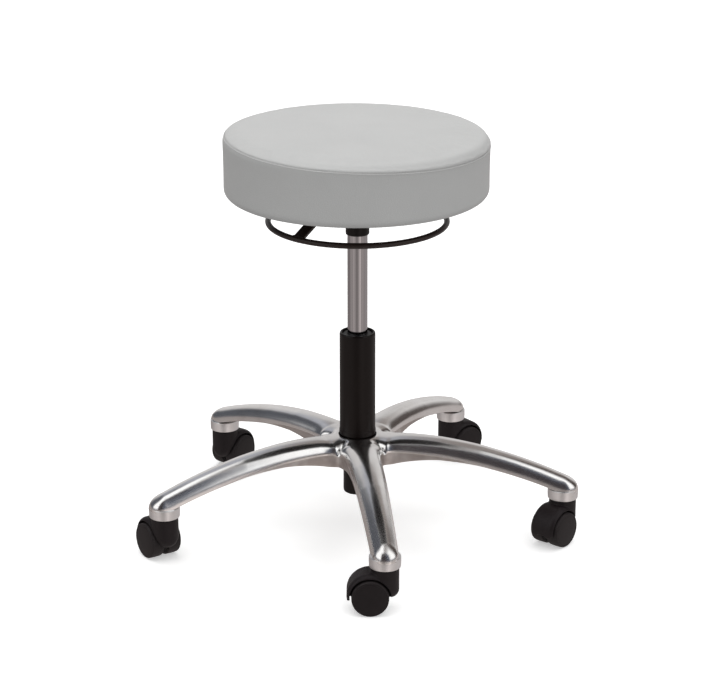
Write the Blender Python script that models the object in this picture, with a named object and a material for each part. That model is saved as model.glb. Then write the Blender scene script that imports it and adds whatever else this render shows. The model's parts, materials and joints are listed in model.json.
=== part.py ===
"""Exam stool: a round cushioned seat on a gas lift, a five-arm cast base and hooded twin-wheel casters.

Metres, +Z up. The origin is on the floor, on the axis of the column.
Seen from -Y, one arm points to the viewer.
"""

import math

import bmesh
import bpy
from mathutils import Matrix, Vector

# Gaps between pieces
CLEARANCE = 0.0003  # pieces that touch, slide or turn on each other
SWIVEL_GAP = 0.0008  # caster hood below its boss
WHEEL_GAP = 0.0020  # hood round the tread of a wheel
WHEEL_SIDE_GAP = 0.0005  # wheel beside the web of its hood

# Casters
WHEEL_RADIUS = 0.0250
WHEEL_WIDTH = 0.0190
WHEEL_FACE_RADIUS = 0.0215  # domed outer face inside the rounded edge
WHEEL_DOME = 0.0006  # middle of the outer face beyond its rim
WHEEL_EDGE = 0.0027  # end of the tread short of the outer face
CASTER_TRAIL = 0.0193  # axle behind the stem
WEB_WIDTH = 0.0070  # wall between the two wheels
HOOD_WALL = 0.0035
HOOD_HALF_WIDTH = 0.0205
HOOD_EDGE = 0.0025  # bevel of the crown at either side
FENDER_REAR = -4.0  # rear end of the crown, in degrees up from the level of the axle
FENDER_FRONT = 150.0  # front end of the crown, inside the neck
NECK_RADIUS = 0.0190
NECK_RISE = 0.0077  # top of the neck above the crown of the hood
NECK_BOTTOM = 0.0265
NECK_ROUND = 0.0130  # rounded lower end of the neck
AXLE_RADIUS = 0.0030
AXLE_BOSS_RADIUS = 0.0090
AXLE_REACH = 0.0145  # axle inside each wheel
STEM_RADIUS = 0.0055
STEM_LENGTH = 0.0220  # above the boss's lower face
PINTLE_RADIUS = 0.0045  # stem inside the hood
PINTLE_LENGTH = 0.0150
# Way each wheel pair trails, in degrees from -Y towards +X
CASTER_TURNS = (-90.0, -40.0, 127.0, 143.0, -146.0)

# Base casting
ARM_COUNT = 5
FIRST_ARM_TURN = 7.1  # front arm, in degrees from -Y towards +X
STEM_CIRCLE = 0.2920  # column axis to stem axis
BOSS_RADIUS = 0.0216
BOSS_HEIGHT = 0.0145
NOSE_HEIGHT = 0.0190  # crown of the nose above its boss
NOSE_REACH = 0.0211  # front of the nose before the stem axis
ARM_DROP = 0.0410  # hub top above the crown of the nose
ARM_LEVEL = 0.0600  # the crest falls away outside this radius
ARM_ROOT_HALF_WIDTH = 0.0245
ARM_TIP_HALF_WIDTH = 0.0182
ARM_DEPTH = 0.0189
ARM_CAP_DEPTH = 0.0155  # rounded top of an arm, above its straight sides
ARM_TIP_SWELL = 0.0030  # the cap is this much deeper at the nose
ARM_WALL = 0.0045
SKIRT_END = 0.1850  # radius where the deep root of an arm has faded out
SKIRT_FADE = 2.4  # how soon the root fades, 1 for evenly
HUB_DEPTH = 0.0345
HUB_LIP_RADIUS = 0.0310
HUB_CORNER_RADIUS = 0.0440  # where two arms meet
CAVITY_START = 0.0620  # hollow underside of an arm
CAVITY_END = 0.2640

# Gas lift
COLUMN_RADIUS = 0.0250
COLUMN_WALL = 0.0020
COLUMN_BEAD = 0.0010
COLUMN_BEAD_HEIGHT = 0.0040
COLUMN_NECK = 0.0100  # inside of the column widens over this height above the hub
TAIL_RADIUS = 0.0200
TAIL_WALL = 0.0025
TAIL_SHOW = 0.0525  # tail below the hub
TAIL_RECESS = 0.0050  # floor of the column above the end of the tail
COLUMN_FLOOR = 0.0040
BUSH_LENGTH = 0.0850
ROD_RADIUS = 0.0050
ROD_END = 0.0050  # rod above the piston
RACE_RADIUS = 0.0150
RACE_THICKNESS = 0.0020
BUMPER_RADIUS = 0.0110
BUMPER_LENGTH = 0.0150
CLIP_RADIUS = 0.0090
CLIP_THICKNESS = 0.0020
TUBE_RADIUS = 0.0140
TUBE_TOP_RADIUS = 0.0135
TUBE_WALL = 0.0015
TUBE_SHOW = 0.1415  # tube between column and seat socket, as photographed
LIFT_DOWN = 0.1200  # travel of the seat below the photographed height
LIFT_UP = 0.0200  # and above it
TUBE_END_GAP = 0.0070  # tube above the bumper at the lowest seat
ROD_GUIDE_LENGTH = 0.0150
PISTON_LENGTH = 0.0120
PISTON_GAP = 0.0050  # piston above the rod guide at the highest seat
VALVE_LENGTH = 0.0220
BUTTON_RADIUS = 0.0035
BUTTON_IN_VALVE = 0.0160

# Seat support and release
SOCKET_RADIUS = 0.0164
SOCKET_LENGTH = 0.0355
LEVER_RISE = 0.0070  # lever above the socket
LEVER_WIDTH = 0.0170
LEVER_THICKNESS = 0.0040
LEVER_SLOPE = 29.0  # fall of the lever's ends, in degrees
LEVER_TURN = -40.8  # front end of the lever, in degrees from -Y towards +X
PIVOT_OFFSET = 0.0260  # lever pin in front of the column axis
PIN_RADIUS = 0.0020
SLEEVE_RADIUS = 0.0035
SLEEVE_SINK = 0.0004  # weld of the sleeve into the lever
SLEEVE_GAP = 0.0012  # sleeve below the seat plate
BRACKET_HALF_WIDTH = 0.0205
BRACKET_WALL = 0.0030
BRACKET_DEPTH = 0.0280
BRACKET_HALF_LENGTH = 0.0450
RING_RADIUS = 0.1224
RING_ROD_RADIUS = 0.0040
RING_DROP = 0.0255  # ring below the middle of the lever
PLATE_SIZE = 0.1500
PLATE_THICKNESS = 0.0025
BOLT_SPREAD = 0.0580  # bolts either side of the axis, both ways
BOLT_RADIUS = 0.0030
BOLT_HEAD_RADIUS = 0.0055
BOLT_HEAD_HEIGHT = 0.0040
BOLT_SHORT = 0.0020  # bolt end below the top of the board
NUT_RADIUS = 0.0040
NUT_FLANGE_RADIUS = 0.0090
NUT_FLANGE = 0.0012
NUT_LIFT = 0.0035  # barrel of the nut above the underside of the board

# Seat
SEAT_HEIGHT = 0.5790  # crown of the seat above the floor, as photographed
SEAT_RADIUS = 0.1825
BAND_HEIGHT = 0.0760
CROWN_RISE = 0.0145  # crown above the seam
CROWN_DOME = 0.0050  # middle of the top above its edge
CROWN_FLAT_RADIUS = 0.0300
EDGE_ROUND = 0.0100  # rounded edge above the seam
BAND_DRAW = 0.0010  # side drawn in below the seam
BAND_TAPER = 0.0025  # foot of the side inside the seam
FOOT_ROUND = 0.0100
MARGIN_RADIUS = 0.1500  # inner edge of the cover that is turned under the board
VINYL = 0.0011
BOARD_THICKNESS = 0.0120
DUST_COVER = 0.0006
DUST_COVER_LAP = 0.0080  # dust cover over the turned-under margin

# Facets of the round pieces
SEAT_SIDES = 32
TUBE_SIDES = 24
INNER_SIDES = 16
HOOD_SIDES = 16
WHEEL_SIDES = 20
SMALL_SIDES = 12
ROD_SIDES = 8
RING_STEPS = 40
ARM_ACROSS = 6
ARM_STATIONS = 9
NOSE_STEPS = 6
CAVITY_STATIONS = 6
CROWN_STEPS = 9
BOSS_STEPS = 4
EDGE_SLANTS = (30.0, 60.0, 90.0)
SIDE_STEPS = 2
DOME_STEPS = 2

# Levels: the base from the floor up, the seat from its crown down, and the gas lift between them
HOOD_RADIUS = WHEEL_RADIUS + WHEEL_GAP + HOOD_WALL
HOOD_TOP = WHEEL_RADIUS + HOOD_RADIUS + NECK_RISE
BOSS_BOTTOM = HOOD_TOP + SWIVEL_GAP
BOSS_TOP = BOSS_BOTTOM + BOSS_HEIGHT
NOSE_TOP = BOSS_TOP + NOSE_HEIGHT
HUB_TOP = NOSE_TOP + ARM_DROP
HUB_BOTTOM = HUB_TOP - HUB_DEPTH
CROWN_TOP = SEAT_HEIGHT
SEAM_LEVEL = CROWN_TOP - CROWN_RISE
SEAT_BOTTOM = SEAM_LEVEL - BAND_HEIGHT
BOARD_BOTTOM = SEAT_BOTTOM + VINYL + CLEARANCE
BOARD_TOP = BOARD_BOTTOM + BOARD_THICKNESS
FOAM_BOTTOM = BOARD_TOP + CLEARANCE
DUST_COVER_TOP = SEAT_BOTTOM - CLEARANCE
PLATE_TOP = DUST_COVER_TOP - DUST_COVER - CLEARANCE
PLATE_BOTTOM = PLATE_TOP - PLATE_THICKNESS
PIN_LEVEL = PLATE_BOTTOM - SLEEVE_GAP - SLEEVE_RADIUS
LEVER_TOP = PIN_LEVEL - SLEEVE_RADIUS + SLEEVE_SINK
LEVER_MIDDLE = LEVER_TOP - LEVER_THICKNESS / 2
LEVER_BOTTOM = LEVER_TOP - LEVER_THICKNESS
RING_LEVEL = LEVER_MIDDLE - RING_DROP
SOCKET_TOP = LEVER_BOTTOM - LEVER_RISE
SOCKET_BOTTOM = SOCKET_TOP - SOCKET_LENGTH
COLUMN_TOP = SOCKET_BOTTOM - TUBE_SHOW
TAIL_BOTTOM = HUB_BOTTOM - TAIL_SHOW
FLOOR_BOTTOM = TAIL_BOTTOM + TAIL_RECESS
FLOOR_TOP = FLOOR_BOTTOM + COLUMN_FLOOR
LOWER_RACE_TOP = FLOOR_TOP + CLEARANCE + RACE_THICKNESS
UPPER_RACE_TOP = LOWER_RACE_TOP + CLEARANCE + RACE_THICKNESS
BUMPER_TOP = UPPER_RACE_TOP + CLEARANCE + BUMPER_LENGTH
TUBE_BOTTOM = BUMPER_TOP + TUBE_END_GAP + LIFT_DOWN
PISTON_BOTTOM = TUBE_BOTTOM + ROD_GUIDE_LENGTH + LIFT_UP + PISTON_GAP
PISTON_TOP = PISTON_BOTTOM + PISTON_LENGTH

# Radii that fit into each other
COLUMN_BORE = COLUMN_RADIUS - COLUMN_WALL
TAIL_BORE = TAIL_RADIUS - TAIL_WALL
TUBE_BORE = TUBE_RADIUS - TUBE_WALL
PLUG_RADIUS = TUBE_BORE - CLEARANCE  # piston, rod guide and valve body
ROD_HOLE = ROD_RADIUS + CLEARANCE

CUT_PAST = 0.0100  # cutters run this far past a face


# Scene and materials


def clear_scene():
    for item in list(bpy.data.objects):
        bpy.data.objects.remove(item, do_unlink=True)


def finish(name, colour, roughness, metallic):
    """A Principled material."""
    made = bpy.data.materials.new(name)
    made.use_nodes = True
    shader = made.node_tree.nodes["Principled BSDF"]
    shader.inputs["Base Color"].default_value = (*colour, 1.0)
    shader.inputs["Roughness"].default_value = roughness
    shader.inputs["Metallic"].default_value = metallic
    return made


def finishes():
    return {
        "aluminium": finish("polished_aluminium", (0.78, 0.77, 0.76), 0.16, 1.0),
        "chrome": finish("chrome_plate", (0.62, 0.60, 0.60), 0.10, 1.0),
        "steel": finish("bright_steel", (0.45, 0.45, 0.46), 0.35, 1.0),
        "powder_coat": finish("black_powder_coat", (0.012, 0.011, 0.011), 0.45, 0.0),
        "ring_paint": finish("dark_ring_paint", (0.016, 0.012, 0.011), 0.40, 0.0),
        "plastic": finish("black_plastic", (0.018, 0.017, 0.017), 0.55, 0.0),
        "nylon": finish("grey_nylon", (0.30, 0.30, 0.31), 0.50, 0.0),
        "rubber": finish("black_rubber", (0.015, 0.015, 0.015), 0.80, 0.0),
        "vinyl": finish("grey_vinyl", (0.50, 0.51, 0.51), 0.45, 0.0),
        "foam": finish("seat_foam", (0.75, 0.70, 0.55), 0.95, 0.0),
        "plywood": finish("plywood", (0.55, 0.38, 0.22), 0.70, 0.0),
        "cambric": finish("black_cambric", (0.02, 0.02, 0.02), 0.90, 0.0),
    }


def new_object(name, shape, material=None, parent=None, helper=False):
    """An object made from a bmesh or a mesh. A helper is left out of the model."""
    mesh = shape
    if isinstance(shape, bmesh.types.BMesh):
        mesh = bpy.data.meshes.new(name)
        shape.to_mesh(mesh)
        shape.free()
        mesh.shade_smooth()
        mesh.set_sharp_from_angle(angle=math.radians(35.0))
    made = bpy.data.objects.new(name, mesh)
    bpy.context.scene.collection.objects.link(made)
    made.parent = parent
    if material and not mesh.materials:
        mesh.materials.append(material)
    if helper:
        made.hide_render = True
        made.display_type = "WIRE"
    return made


def axis_empty(name, place, turn=0.0):
    """An empty on a joint's axis, turned about Z."""
    made = bpy.data.objects.new(name, None)
    made.location = place
    made.rotation_euler = (0.0, 0.0, turn)
    bpy.context.scene.collection.objects.link(made)
    return made


def combine(target, other, operation, solver="EXACT"):
    """A Boolean on the target with a helper object."""
    modifier = target.modifiers.new(other.name, "BOOLEAN")
    modifier.operation = operation
    modifier.object = other
    modifier.solver = solver


def evaluated_mesh(target):
    """The target's mesh with its modifiers applied, for copies that share it."""
    bpy.context.view_layer.update()
    graph = bpy.context.evaluated_depsgraph_get()
    return bpy.data.meshes.new_from_object(target.evaluated_get(graph))


# Shapes


def heading(turn):
    """Unit vector for an angle in degrees from -Y towards +X."""
    angle = math.radians(turn)
    return Vector((math.sin(angle), -math.cos(angle), 0.0))


def turn_of_x(turn):
    """Rotation about Z that takes +X to that heading."""
    return math.radians(turn - 90.0)


def at(place):
    return Matrix.Translation(place)


def sideways(side, place=(0.0, 0.0, 0.0)):
    """A frame at a place whose Z axis points along +Y, or along -Y for side -1."""
    return at(place) @ Matrix.Rotation(math.radians(-90.0 * side), 4, "X")


def add_turned(bm, outline, sides, frame=Matrix(), phase=0.0):
    """A closed body turned about a frame's Z axis, where its outline starts and ends, if it isn't a loop."""
    rings = []
    for radius, level in outline:
        count = 1 if radius == 0.0 else sides
        ring = []
        for step in range(count):
            angle = phase + 2.0 * math.pi * step / sides
            point = Vector((radius * math.cos(angle), radius * math.sin(angle), level))
            ring.append(bm.verts.new(frame @ point))
        rings.append(ring)
    pairs = list(zip(rings, rings[1:]))
    if len(rings[0]) > 1:
        pairs.append((rings[-1], rings[0]))
    faces = []
    for low, high in pairs:
        for step in range(sides):
            after = (step + 1) % sides
            corners = (
                low[step % len(low)],
                low[after % len(low)],
                high[after % len(high)],
                high[step % len(high)],
            )
            faces.append(bm.faces.new(list(dict.fromkeys(corners))))
    bmesh.ops.recalc_face_normals(bm, faces=faces)


def turned(outline, sides, frame=Matrix(), phase=0.0):
    bm = bmesh.new()
    add_turned(bm, outline, sides, frame, phase)
    return bm


def rod_outline(radius, bottom, top):
    return [(0.0, top), (radius, top), (radius, bottom), (0.0, bottom)]


def sleeve_outline(outer, inner, bottom, top):
    return [(outer, top), (outer, bottom), (inner, bottom), (inner, top)]


def add_loft(bm, outlines):
    """A closed body through a row of outlines with as many points each."""
    loops = [[bm.verts.new(point) for point in outline] for outline in outlines]
    faces = [bm.faces.new(loops[0]), bm.faces.new(loops[-1][::-1])]
    for loop, after in zip(loops, loops[1:]):
        for step in range(len(loop)):
            then = (step + 1) % len(loop)
            faces.append(bm.faces.new((loop[step], loop[then], after[then], after[step])))
    bmesh.ops.recalc_face_normals(bm, faces=faces)


def add_prism(bm, outline, bottom, top):
    """A closed prism over an outline of (x, y) points."""
    add_loft(bm, [[(x, y, level) for x, y in outline] for level in (bottom, top)])


def arc(centre, radius, start, end, steps):
    """Points on an arc, angles in degrees."""
    points = []
    for step in range(steps + 1):
        angle = math.radians(start + (end - start) * step / steps)
        points.append((centre[0] + radius * math.cos(angle), centre[1] + radius * math.sin(angle)))
    return points


def offset_outline(points, distance):
    """An open outline moved to its right-hand side."""
    moved = []
    for index, point in enumerate(points):
        normals = []
        for start, end in ((index - 1, index), (index, index + 1)):
            if start < 0 or end >= len(points):
                continue
            along = (Vector(points[end]) - Vector(points[start])).normalized()
            normals.append(Vector((along.y, -along.x)))
        mean = sum(normals, Vector((0.0, 0.0)))
        moved.append(tuple(Vector(point) + mean * (distance * len(normals) / mean.length_squared)))
    return moved


def radius_at(outline, level):
    """Radius of an outline where it crosses a level."""
    for (r1, z1), (r2, z2) in zip(outline, outline[1:]):
        if min(z1, z2) <= level <= max(z1, z2) and z1 != z2:
            return r1 + (r2 - r1) * (level - z1) / (z2 - z1)
    return outline[-1][0]


# Base casting


def arm_crest(along):
    """Height of an arm's crest, level by the hub and then on an arc down to the nose."""
    run = STEM_CIRCLE - ARM_LEVEL
    radius = (run * run + ARM_DROP * ARM_DROP) / (2.0 * ARM_DROP)
    past = min(max(along - ARM_LEVEL, 0.0), run)
    return HUB_TOP - radius + math.sqrt(radius * radius - past * past)


def arm_share(along, end):
    """0 at the hub corner and 1 at that end."""
    return min(max((along - HUB_CORNER_RADIUS) / (end - HUB_CORNER_RADIUS), 0.0), 1.0)


def arm_half_width(along):
    share = arm_share(along, STEM_CIRCLE)
    return ARM_ROOT_HALF_WIDTH + (ARM_TIP_HALF_WIDTH - ARM_ROOT_HALF_WIDTH) * share


def arm_swell(along):
    return ARM_TIP_SWELL * arm_share(along, STEM_CIRCLE) ** 2


def cap_depth(along):
    return ARM_CAP_DEPTH + arm_swell(along)


def arm_bottom(along):
    left = (1.0 - arm_share(along, SKIRT_END)) ** SKIRT_FADE
    return arm_crest(along) - ARM_DEPTH - arm_swell(along) - (HUB_DEPTH - ARM_DEPTH) * left


def arm_sections():
    """Rows of points across one arm, along +X: each row goes over the cap from one side to the other."""
    bisector = math.pi / ARM_COUNT
    rows = []
    for radius in (HUB_LIP_RADIUS / 2.0, HUB_LIP_RADIUS):
        row = []
        for step in range(ARM_ACROSS + 1):
            angle = bisector * (2.0 * step / ARM_ACROSS - 1.0)
            row.append(Vector((radius * math.cos(angle), radius * math.sin(angle), HUB_TOP)))
        rows.append(row)
    corner = HUB_CORNER_RADIUS * math.cos(bisector)
    corner_half_width = HUB_CORNER_RADIUS * math.sin(bisector)
    for station in range(ARM_STATIONS):
        along = HUB_CORNER_RADIUS + (STEM_CIRCLE - HUB_CORNER_RADIUS) * station / (ARM_STATIONS - 1)
        half_width = arm_half_width(along) if station else corner_half_width
        row = []
        for step in range(ARM_ACROSS + 1):
            slant = math.pi / 2.0 * (2.0 * step / ARM_ACROSS - 1.0)
            fall = cap_depth(along) * (1.0 - math.cos(slant))
            back = 0.0 if station else (along - corner) * math.sin(slant) ** 2
            row.append(Vector((along - back, half_width * math.sin(slant), arm_crest(along) - fall)))
        rows.append(row)
    return rows


def add_arm(bm, turn):
    """One closed-off sector of the star: cap, sides and underside of an arm with its round nose."""
    spin = Matrix.Rotation(turn_of_x(turn), 3, "Z")
    grid = [[bm.verts.new(spin @ point) for point in row] for row in arm_sections()]
    middle = ARM_ACROSS // 2

    def vertex(x, y, z):
        return bm.verts.new(spin @ Vector((x, y, z)))

    def patch(rows):
        for low, high in zip(rows, rows[1:]):
            for step in range(len(low) - 1):
                bm.faces.new((low[step], high[step], high[step + 1], low[step + 1]))

    patch(grid)
    crown = vertex(0.0, 0.0, HUB_TOP)
    for step in range(ARM_ACROSS):
        bm.faces.new((crown, grid[0][step], grid[0][step + 1]))

    # The underside follows the skirt, and closes on the axis below the hub.
    local = spin.inverted()
    feet = []
    for row in grid[2:]:
        level = arm_bottom((local @ row[middle].co).x)
        ends = []
        for point in (row[0], row[-1]):
            place = local @ point.co
            ends.append(vertex(place.x, place.y, level))
        feet.append(ends)
    base = vertex(0.0, 0.0, arm_bottom(0.0))
    bm.faces.new((base, feet[0][1], feet[0][0]))
    for (left, right), (next_left, next_right) in zip(feet, feet[1:]):
        bm.faces.new((left, right, next_right, next_left))
    for row, after, foot, next_foot in zip(grid[2:], grid[3:], feet, feet[1:]):
        bm.faces.new((row[0], foot[0], next_foot[0], after[0]))
        bm.faces.new((row[-1], after[-1], next_foot[1], foot[1]))

    # The nose is the end section swung round the stem's axis and drawn out to the front of the boss.
    # It keeps the fall of the crest at its crown.
    pole = grid[-1][middle]
    half_width = arm_half_width(STEM_CIRCLE)
    run = STEM_CIRCLE - ARM_LEVEL
    slope = 2.0 * ARM_DROP * run / (run * run - ARM_DROP * ARM_DROP)
    stretch = NOSE_REACH / half_width
    rings = []
    for swing in range(1, NOSE_STEPS):
        side = math.radians(-90.0 + 180.0 * swing / NOSE_STEPS)
        ring = [pole]
        for step in range(1, middle + 1):
            slant = math.pi / 2.0 * step / middle
            reach = half_width * math.sin(slant)
            fall = cap_depth(STEM_CIRCLE) * (1.0 - math.cos(slant))
            fall += slope * reach * math.cos(side) * math.cos(slant)
            x = STEM_CIRCLE + stretch * reach * math.cos(side)
            ring.append(vertex(x, reach * math.sin(side), NOSE_TOP - fall))
        x = STEM_CIRCLE + NOSE_REACH * math.cos(side)
        ring.append(vertex(x, half_width * math.sin(side), arm_bottom(STEM_CIRCLE)))
        rings.append(ring)
    rings.insert(0, grid[-1][middle::-1] + [feet[-1][0]])
    rings.append(grid[-1][middle:] + [feet[-1][1]])
    for ring, after in zip(rings, rings[1:]):
        bm.faces.new((pole, ring[1], after[1]))
        for step in range(1, len(ring) - 1):
            bm.faces.new((ring[step], ring[step + 1], after[step + 1], after[step]))
    bm.faces.new([ring[-1] for ring in rings][::-1])


def add_arm_cavity(bm, turn):
    """Hollow underside of one arm, open below."""
    spin = Matrix.Rotation(turn_of_x(turn), 3, "Z")
    outlines = []
    for station in range(CAVITY_STATIONS):
        along = CAVITY_START + (CAVITY_END - CAVITY_START) * station / (CAVITY_STATIONS - 1)
        half_width = arm_half_width(along) - ARM_WALL
        side = arm_crest(along) - cap_depth(along)
        floor = arm_bottom(along) - CUT_PAST
        section = [(-half_width, floor)]
        for y, z in arc((0.0, 0.0), 1.0, 180.0, 0.0, ARM_ACROSS // 2):
            section.append((half_width * y, side + (cap_depth(along) - ARM_WALL) * z))
        section.append((half_width, floor))
        outlines.append([spin @ Vector((along, y, z)) for y, z in section])
    add_loft(bm, outlines)


def arm_turns():
    return [FIRST_ARM_TURN + 360.0 / ARM_COUNT * index for index in range(ARM_COUNT)]


def column_outside():
    """Outside of the column from the bead on the hub down to the end of the tail."""
    cone = HUB_BOTTOM + CLEARANCE
    return [
        (COLUMN_RADIUS - COLUMN_WALL / 2.0, HUB_TOP - CLEARANCE),
        (TAIL_RADIUS, cone),
        (TAIL_RADIUS, TAIL_BOTTOM + TAIL_WALL),
        (TAIL_RADIUS - TAIL_WALL / 2.0, TAIL_BOTTOM),
    ]


def make_base(look):
    star = bmesh.new()
    cavities = bmesh.new()
    bosses = bmesh.new()
    bores = bmesh.new()
    for turn in arm_turns():
        add_arm(star, turn)
        add_arm_cavity(cavities, turn)
        place = heading(turn) * STEM_CIRCLE
        edge = (BOSS_RADIUS - arm_half_width(STEM_CIRCLE)) / 3.0
        boss = [
            (0.0, BOSS_TOP + edge),
            (BOSS_RADIUS - edge, BOSS_TOP),
            (BOSS_RADIUS, BOSS_TOP - edge),
            (BOSS_RADIUS, BOSS_BOTTOM),
            (0.0, BOSS_BOTTOM),
        ]
        add_turned(bosses, boss, INNER_SIDES, at(place))
        socket_top = BOSS_BOTTOM + STEM_LENGTH + CLEARANCE
        socket = rod_outline(STEM_RADIUS + CLEARANCE, BOSS_BOTTOM - CUT_PAST, socket_top)
        add_turned(bores, socket, SMALL_SIDES, at(place))
    bmesh.ops.remove_doubles(star, verts=star.verts, dist=0.00001)
    bmesh.ops.recalc_face_normals(star, faces=star.faces)
    (top_radius, top), (low_radius, low) = column_outside()[:2]
    hole = [
        (0.0, HUB_TOP + CUT_PAST),
        (top_radius + CLEARANCE, HUB_TOP + CUT_PAST),
        (top_radius + CLEARANCE, top),
        (low_radius + CLEARANCE, low),
        (low_radius + CLEARANCE, HUB_BOTTOM - CUT_PAST),
        (0.0, HUB_BOTTOM - CUT_PAST),
    ]
    add_turned(bores, hole, TUBE_SIDES)
    base = new_object("base_casting", star, look["aluminium"])
    combine(base, new_object("arm_hollows", cavities, helper=True), "DIFFERENCE")
    combine(base, new_object("caster_bosses", bosses, helper=True), "UNION")
    combine(base, new_object("base_bores", bores, helper=True), "DIFFERENCE")


# Gas lift


def make_gas_lift(look):
    chamfer = COLUMN_WALL / 2.0
    bead_top = HUB_TOP + CLEARANCE + COLUMN_BEAD_HEIGHT
    column = [
        (COLUMN_BORE + chamfer / 2.0, COLUMN_TOP),
        (COLUMN_RADIUS - chamfer, COLUMN_TOP),
        (COLUMN_RADIUS, COLUMN_TOP - chamfer),
        (COLUMN_RADIUS, bead_top),
        (COLUMN_RADIUS + COLUMN_BEAD, bead_top - COLUMN_BEAD),
        (COLUMN_RADIUS + COLUMN_BEAD, HUB_TOP + CLEARANCE),
        (column_outside()[0][0], HUB_TOP + CLEARANCE),
    ]
    column += column_outside()
    column += [
        (TAIL_BORE, TAIL_BOTTOM),
        (TAIL_BORE, FLOOR_BOTTOM),
        (ROD_HOLE, FLOOR_BOTTOM),
        (ROD_HOLE, FLOOR_TOP),
        (TAIL_BORE, FLOOR_TOP),
        (TAIL_BORE, HUB_BOTTOM),
        (COLUMN_BORE - COLUMN_WALL, HUB_TOP),
        (COLUMN_BORE, HUB_TOP + COLUMN_NECK),
        (COLUMN_BORE, COLUMN_TOP - chamfer / 2.0),
    ]
    new_object("outer_column", turned(column, TUBE_SIDES), look["powder_coat"])

    bush_top = COLUMN_TOP - COLUMN_WALL
    bush = sleeve_outline(COLUMN_BORE - CLEARANCE, TUBE_RADIUS + CLEARANCE, bush_top - BUSH_LENGTH, bush_top)
    new_object("guide_bush", turned(bush, TUBE_SIDES), look["nylon"])

    def washer(name, outer, bottom, top, material):
        new_object(name, turned(sleeve_outline(outer, ROD_HOLE, bottom, top), INNER_SIDES), material)

    washer("lower_race", RACE_RADIUS, LOWER_RACE_TOP - RACE_THICKNESS, LOWER_RACE_TOP, look["steel"])
    washer("upper_race", RACE_RADIUS, UPPER_RACE_TOP - RACE_THICKNESS, UPPER_RACE_TOP, look["steel"])
    washer("rubber_bumper", BUMPER_RADIUS, BUMPER_TOP - BUMPER_LENGTH, BUMPER_TOP, look["rubber"])
    clip_top = FLOOR_BOTTOM - CLEARANCE
    washer("retaining_clip", CLIP_RADIUS, clip_top - CLIP_THICKNESS, clip_top, look["steel"])
    washer("piston", PLUG_RADIUS, PISTON_BOTTOM, PISTON_TOP, look["nylon"])
    washer("rod_guide", PLUG_RADIUS, TUBE_BOTTOM, TUBE_BOTTOM + ROD_GUIDE_LENGTH, look["nylon"])
    rod_bottom = clip_top - CLIP_THICKNESS - CLEARANCE
    rod = rod_outline(ROD_RADIUS, rod_bottom, PISTON_TOP + ROD_END)
    new_object("piston_rod", turned(rod, INNER_SIDES), look["steel"])

    tube_top = SOCKET_TOP - CLEARANCE
    tube = [
        (TUBE_TOP_RADIUS, tube_top),
        (TUBE_RADIUS, SOCKET_BOTTOM),
        (TUBE_RADIUS, TUBE_BOTTOM),
        (TUBE_BORE, TUBE_BOTTOM),
        (TUBE_BORE, tube_top),
    ]
    new_object("pressure_tube", turned(tube, TUBE_SIDES), look["chrome"])
    valve = sleeve_outline(PLUG_RADIUS, BUTTON_RADIUS + CLEARANCE, tube_top - VALVE_LENGTH, tube_top)
    new_object("valve_body", turned(valve, INNER_SIDES), look["steel"])
    button = rod_outline(BUTTON_RADIUS, tube_top - BUTTON_IN_VALVE, LEVER_BOTTOM - CLEARANCE)
    new_object("release_button", turned(button, SMALL_SIDES), look["steel"])

    edge = (SOCKET_RADIUS - TUBE_RADIUS) / 3.0
    socket = [
        (SOCKET_RADIUS, SOCKET_TOP),
        (SOCKET_RADIUS, SOCKET_BOTTOM + edge),
        (SOCKET_RADIUS - edge, SOCKET_BOTTOM),
        (TUBE_RADIUS + CLEARANCE, SOCKET_BOTTOM),
        (TUBE_TOP_RADIUS + CLEARANCE, SOCKET_TOP),
    ]
    new_object("seat_socket", turned(socket, TUBE_SIDES), look["powder_coat"])


# Release ring, lever and seat plate


def lever_side():
    """Side outline of the lever in the plane of its length, as (along, level) measured from the pin."""
    slope = math.tan(math.radians(LEVER_SLOPE))
    bend = RING_RADIUS - RING_DROP / slope
    half = LEVER_THICKNESS / 2.0
    mitre = half * math.tan(math.radians(LEVER_SLOPE) / 2.0)
    reach = RING_RADIUS - RING_ROD_RADIUS / 4.0
    ends = []
    for side in (half, -half):
        level = LEVER_MIDDLE - PIN_LEVEL + side
        knee = bend + math.copysign(mitre, side)
        tip = level - (reach - knee) * slope
        run = [(-reach, tip), (-knee, level), (knee, level), (reach, tip)]
        ends += run if side > 0.0 else run[::-1]
    return [(along - PIVOT_OFFSET, level) for along, level in ends]


def ring_body(rod_radius):
    """The release ring's rod, bent round the column axis, in the lever's frame."""
    outline = []
    for step in range(ROD_SIDES):
        angle = 2.0 * math.pi * step / ROD_SIDES
        outline.append((RING_RADIUS + rod_radius * math.cos(angle), rod_radius * math.sin(angle)))
    return turned(outline, RING_STEPS, at((-PIVOT_OFFSET, 0.0, RING_LEVEL - PIN_LEVEL)))


def cross_rod(radius, reach, sides):
    """A round bar across the middle, along Y, that reaches as far to either side."""
    return turned(rod_outline(radius, -reach, reach), sides, sideways(1))


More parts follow.
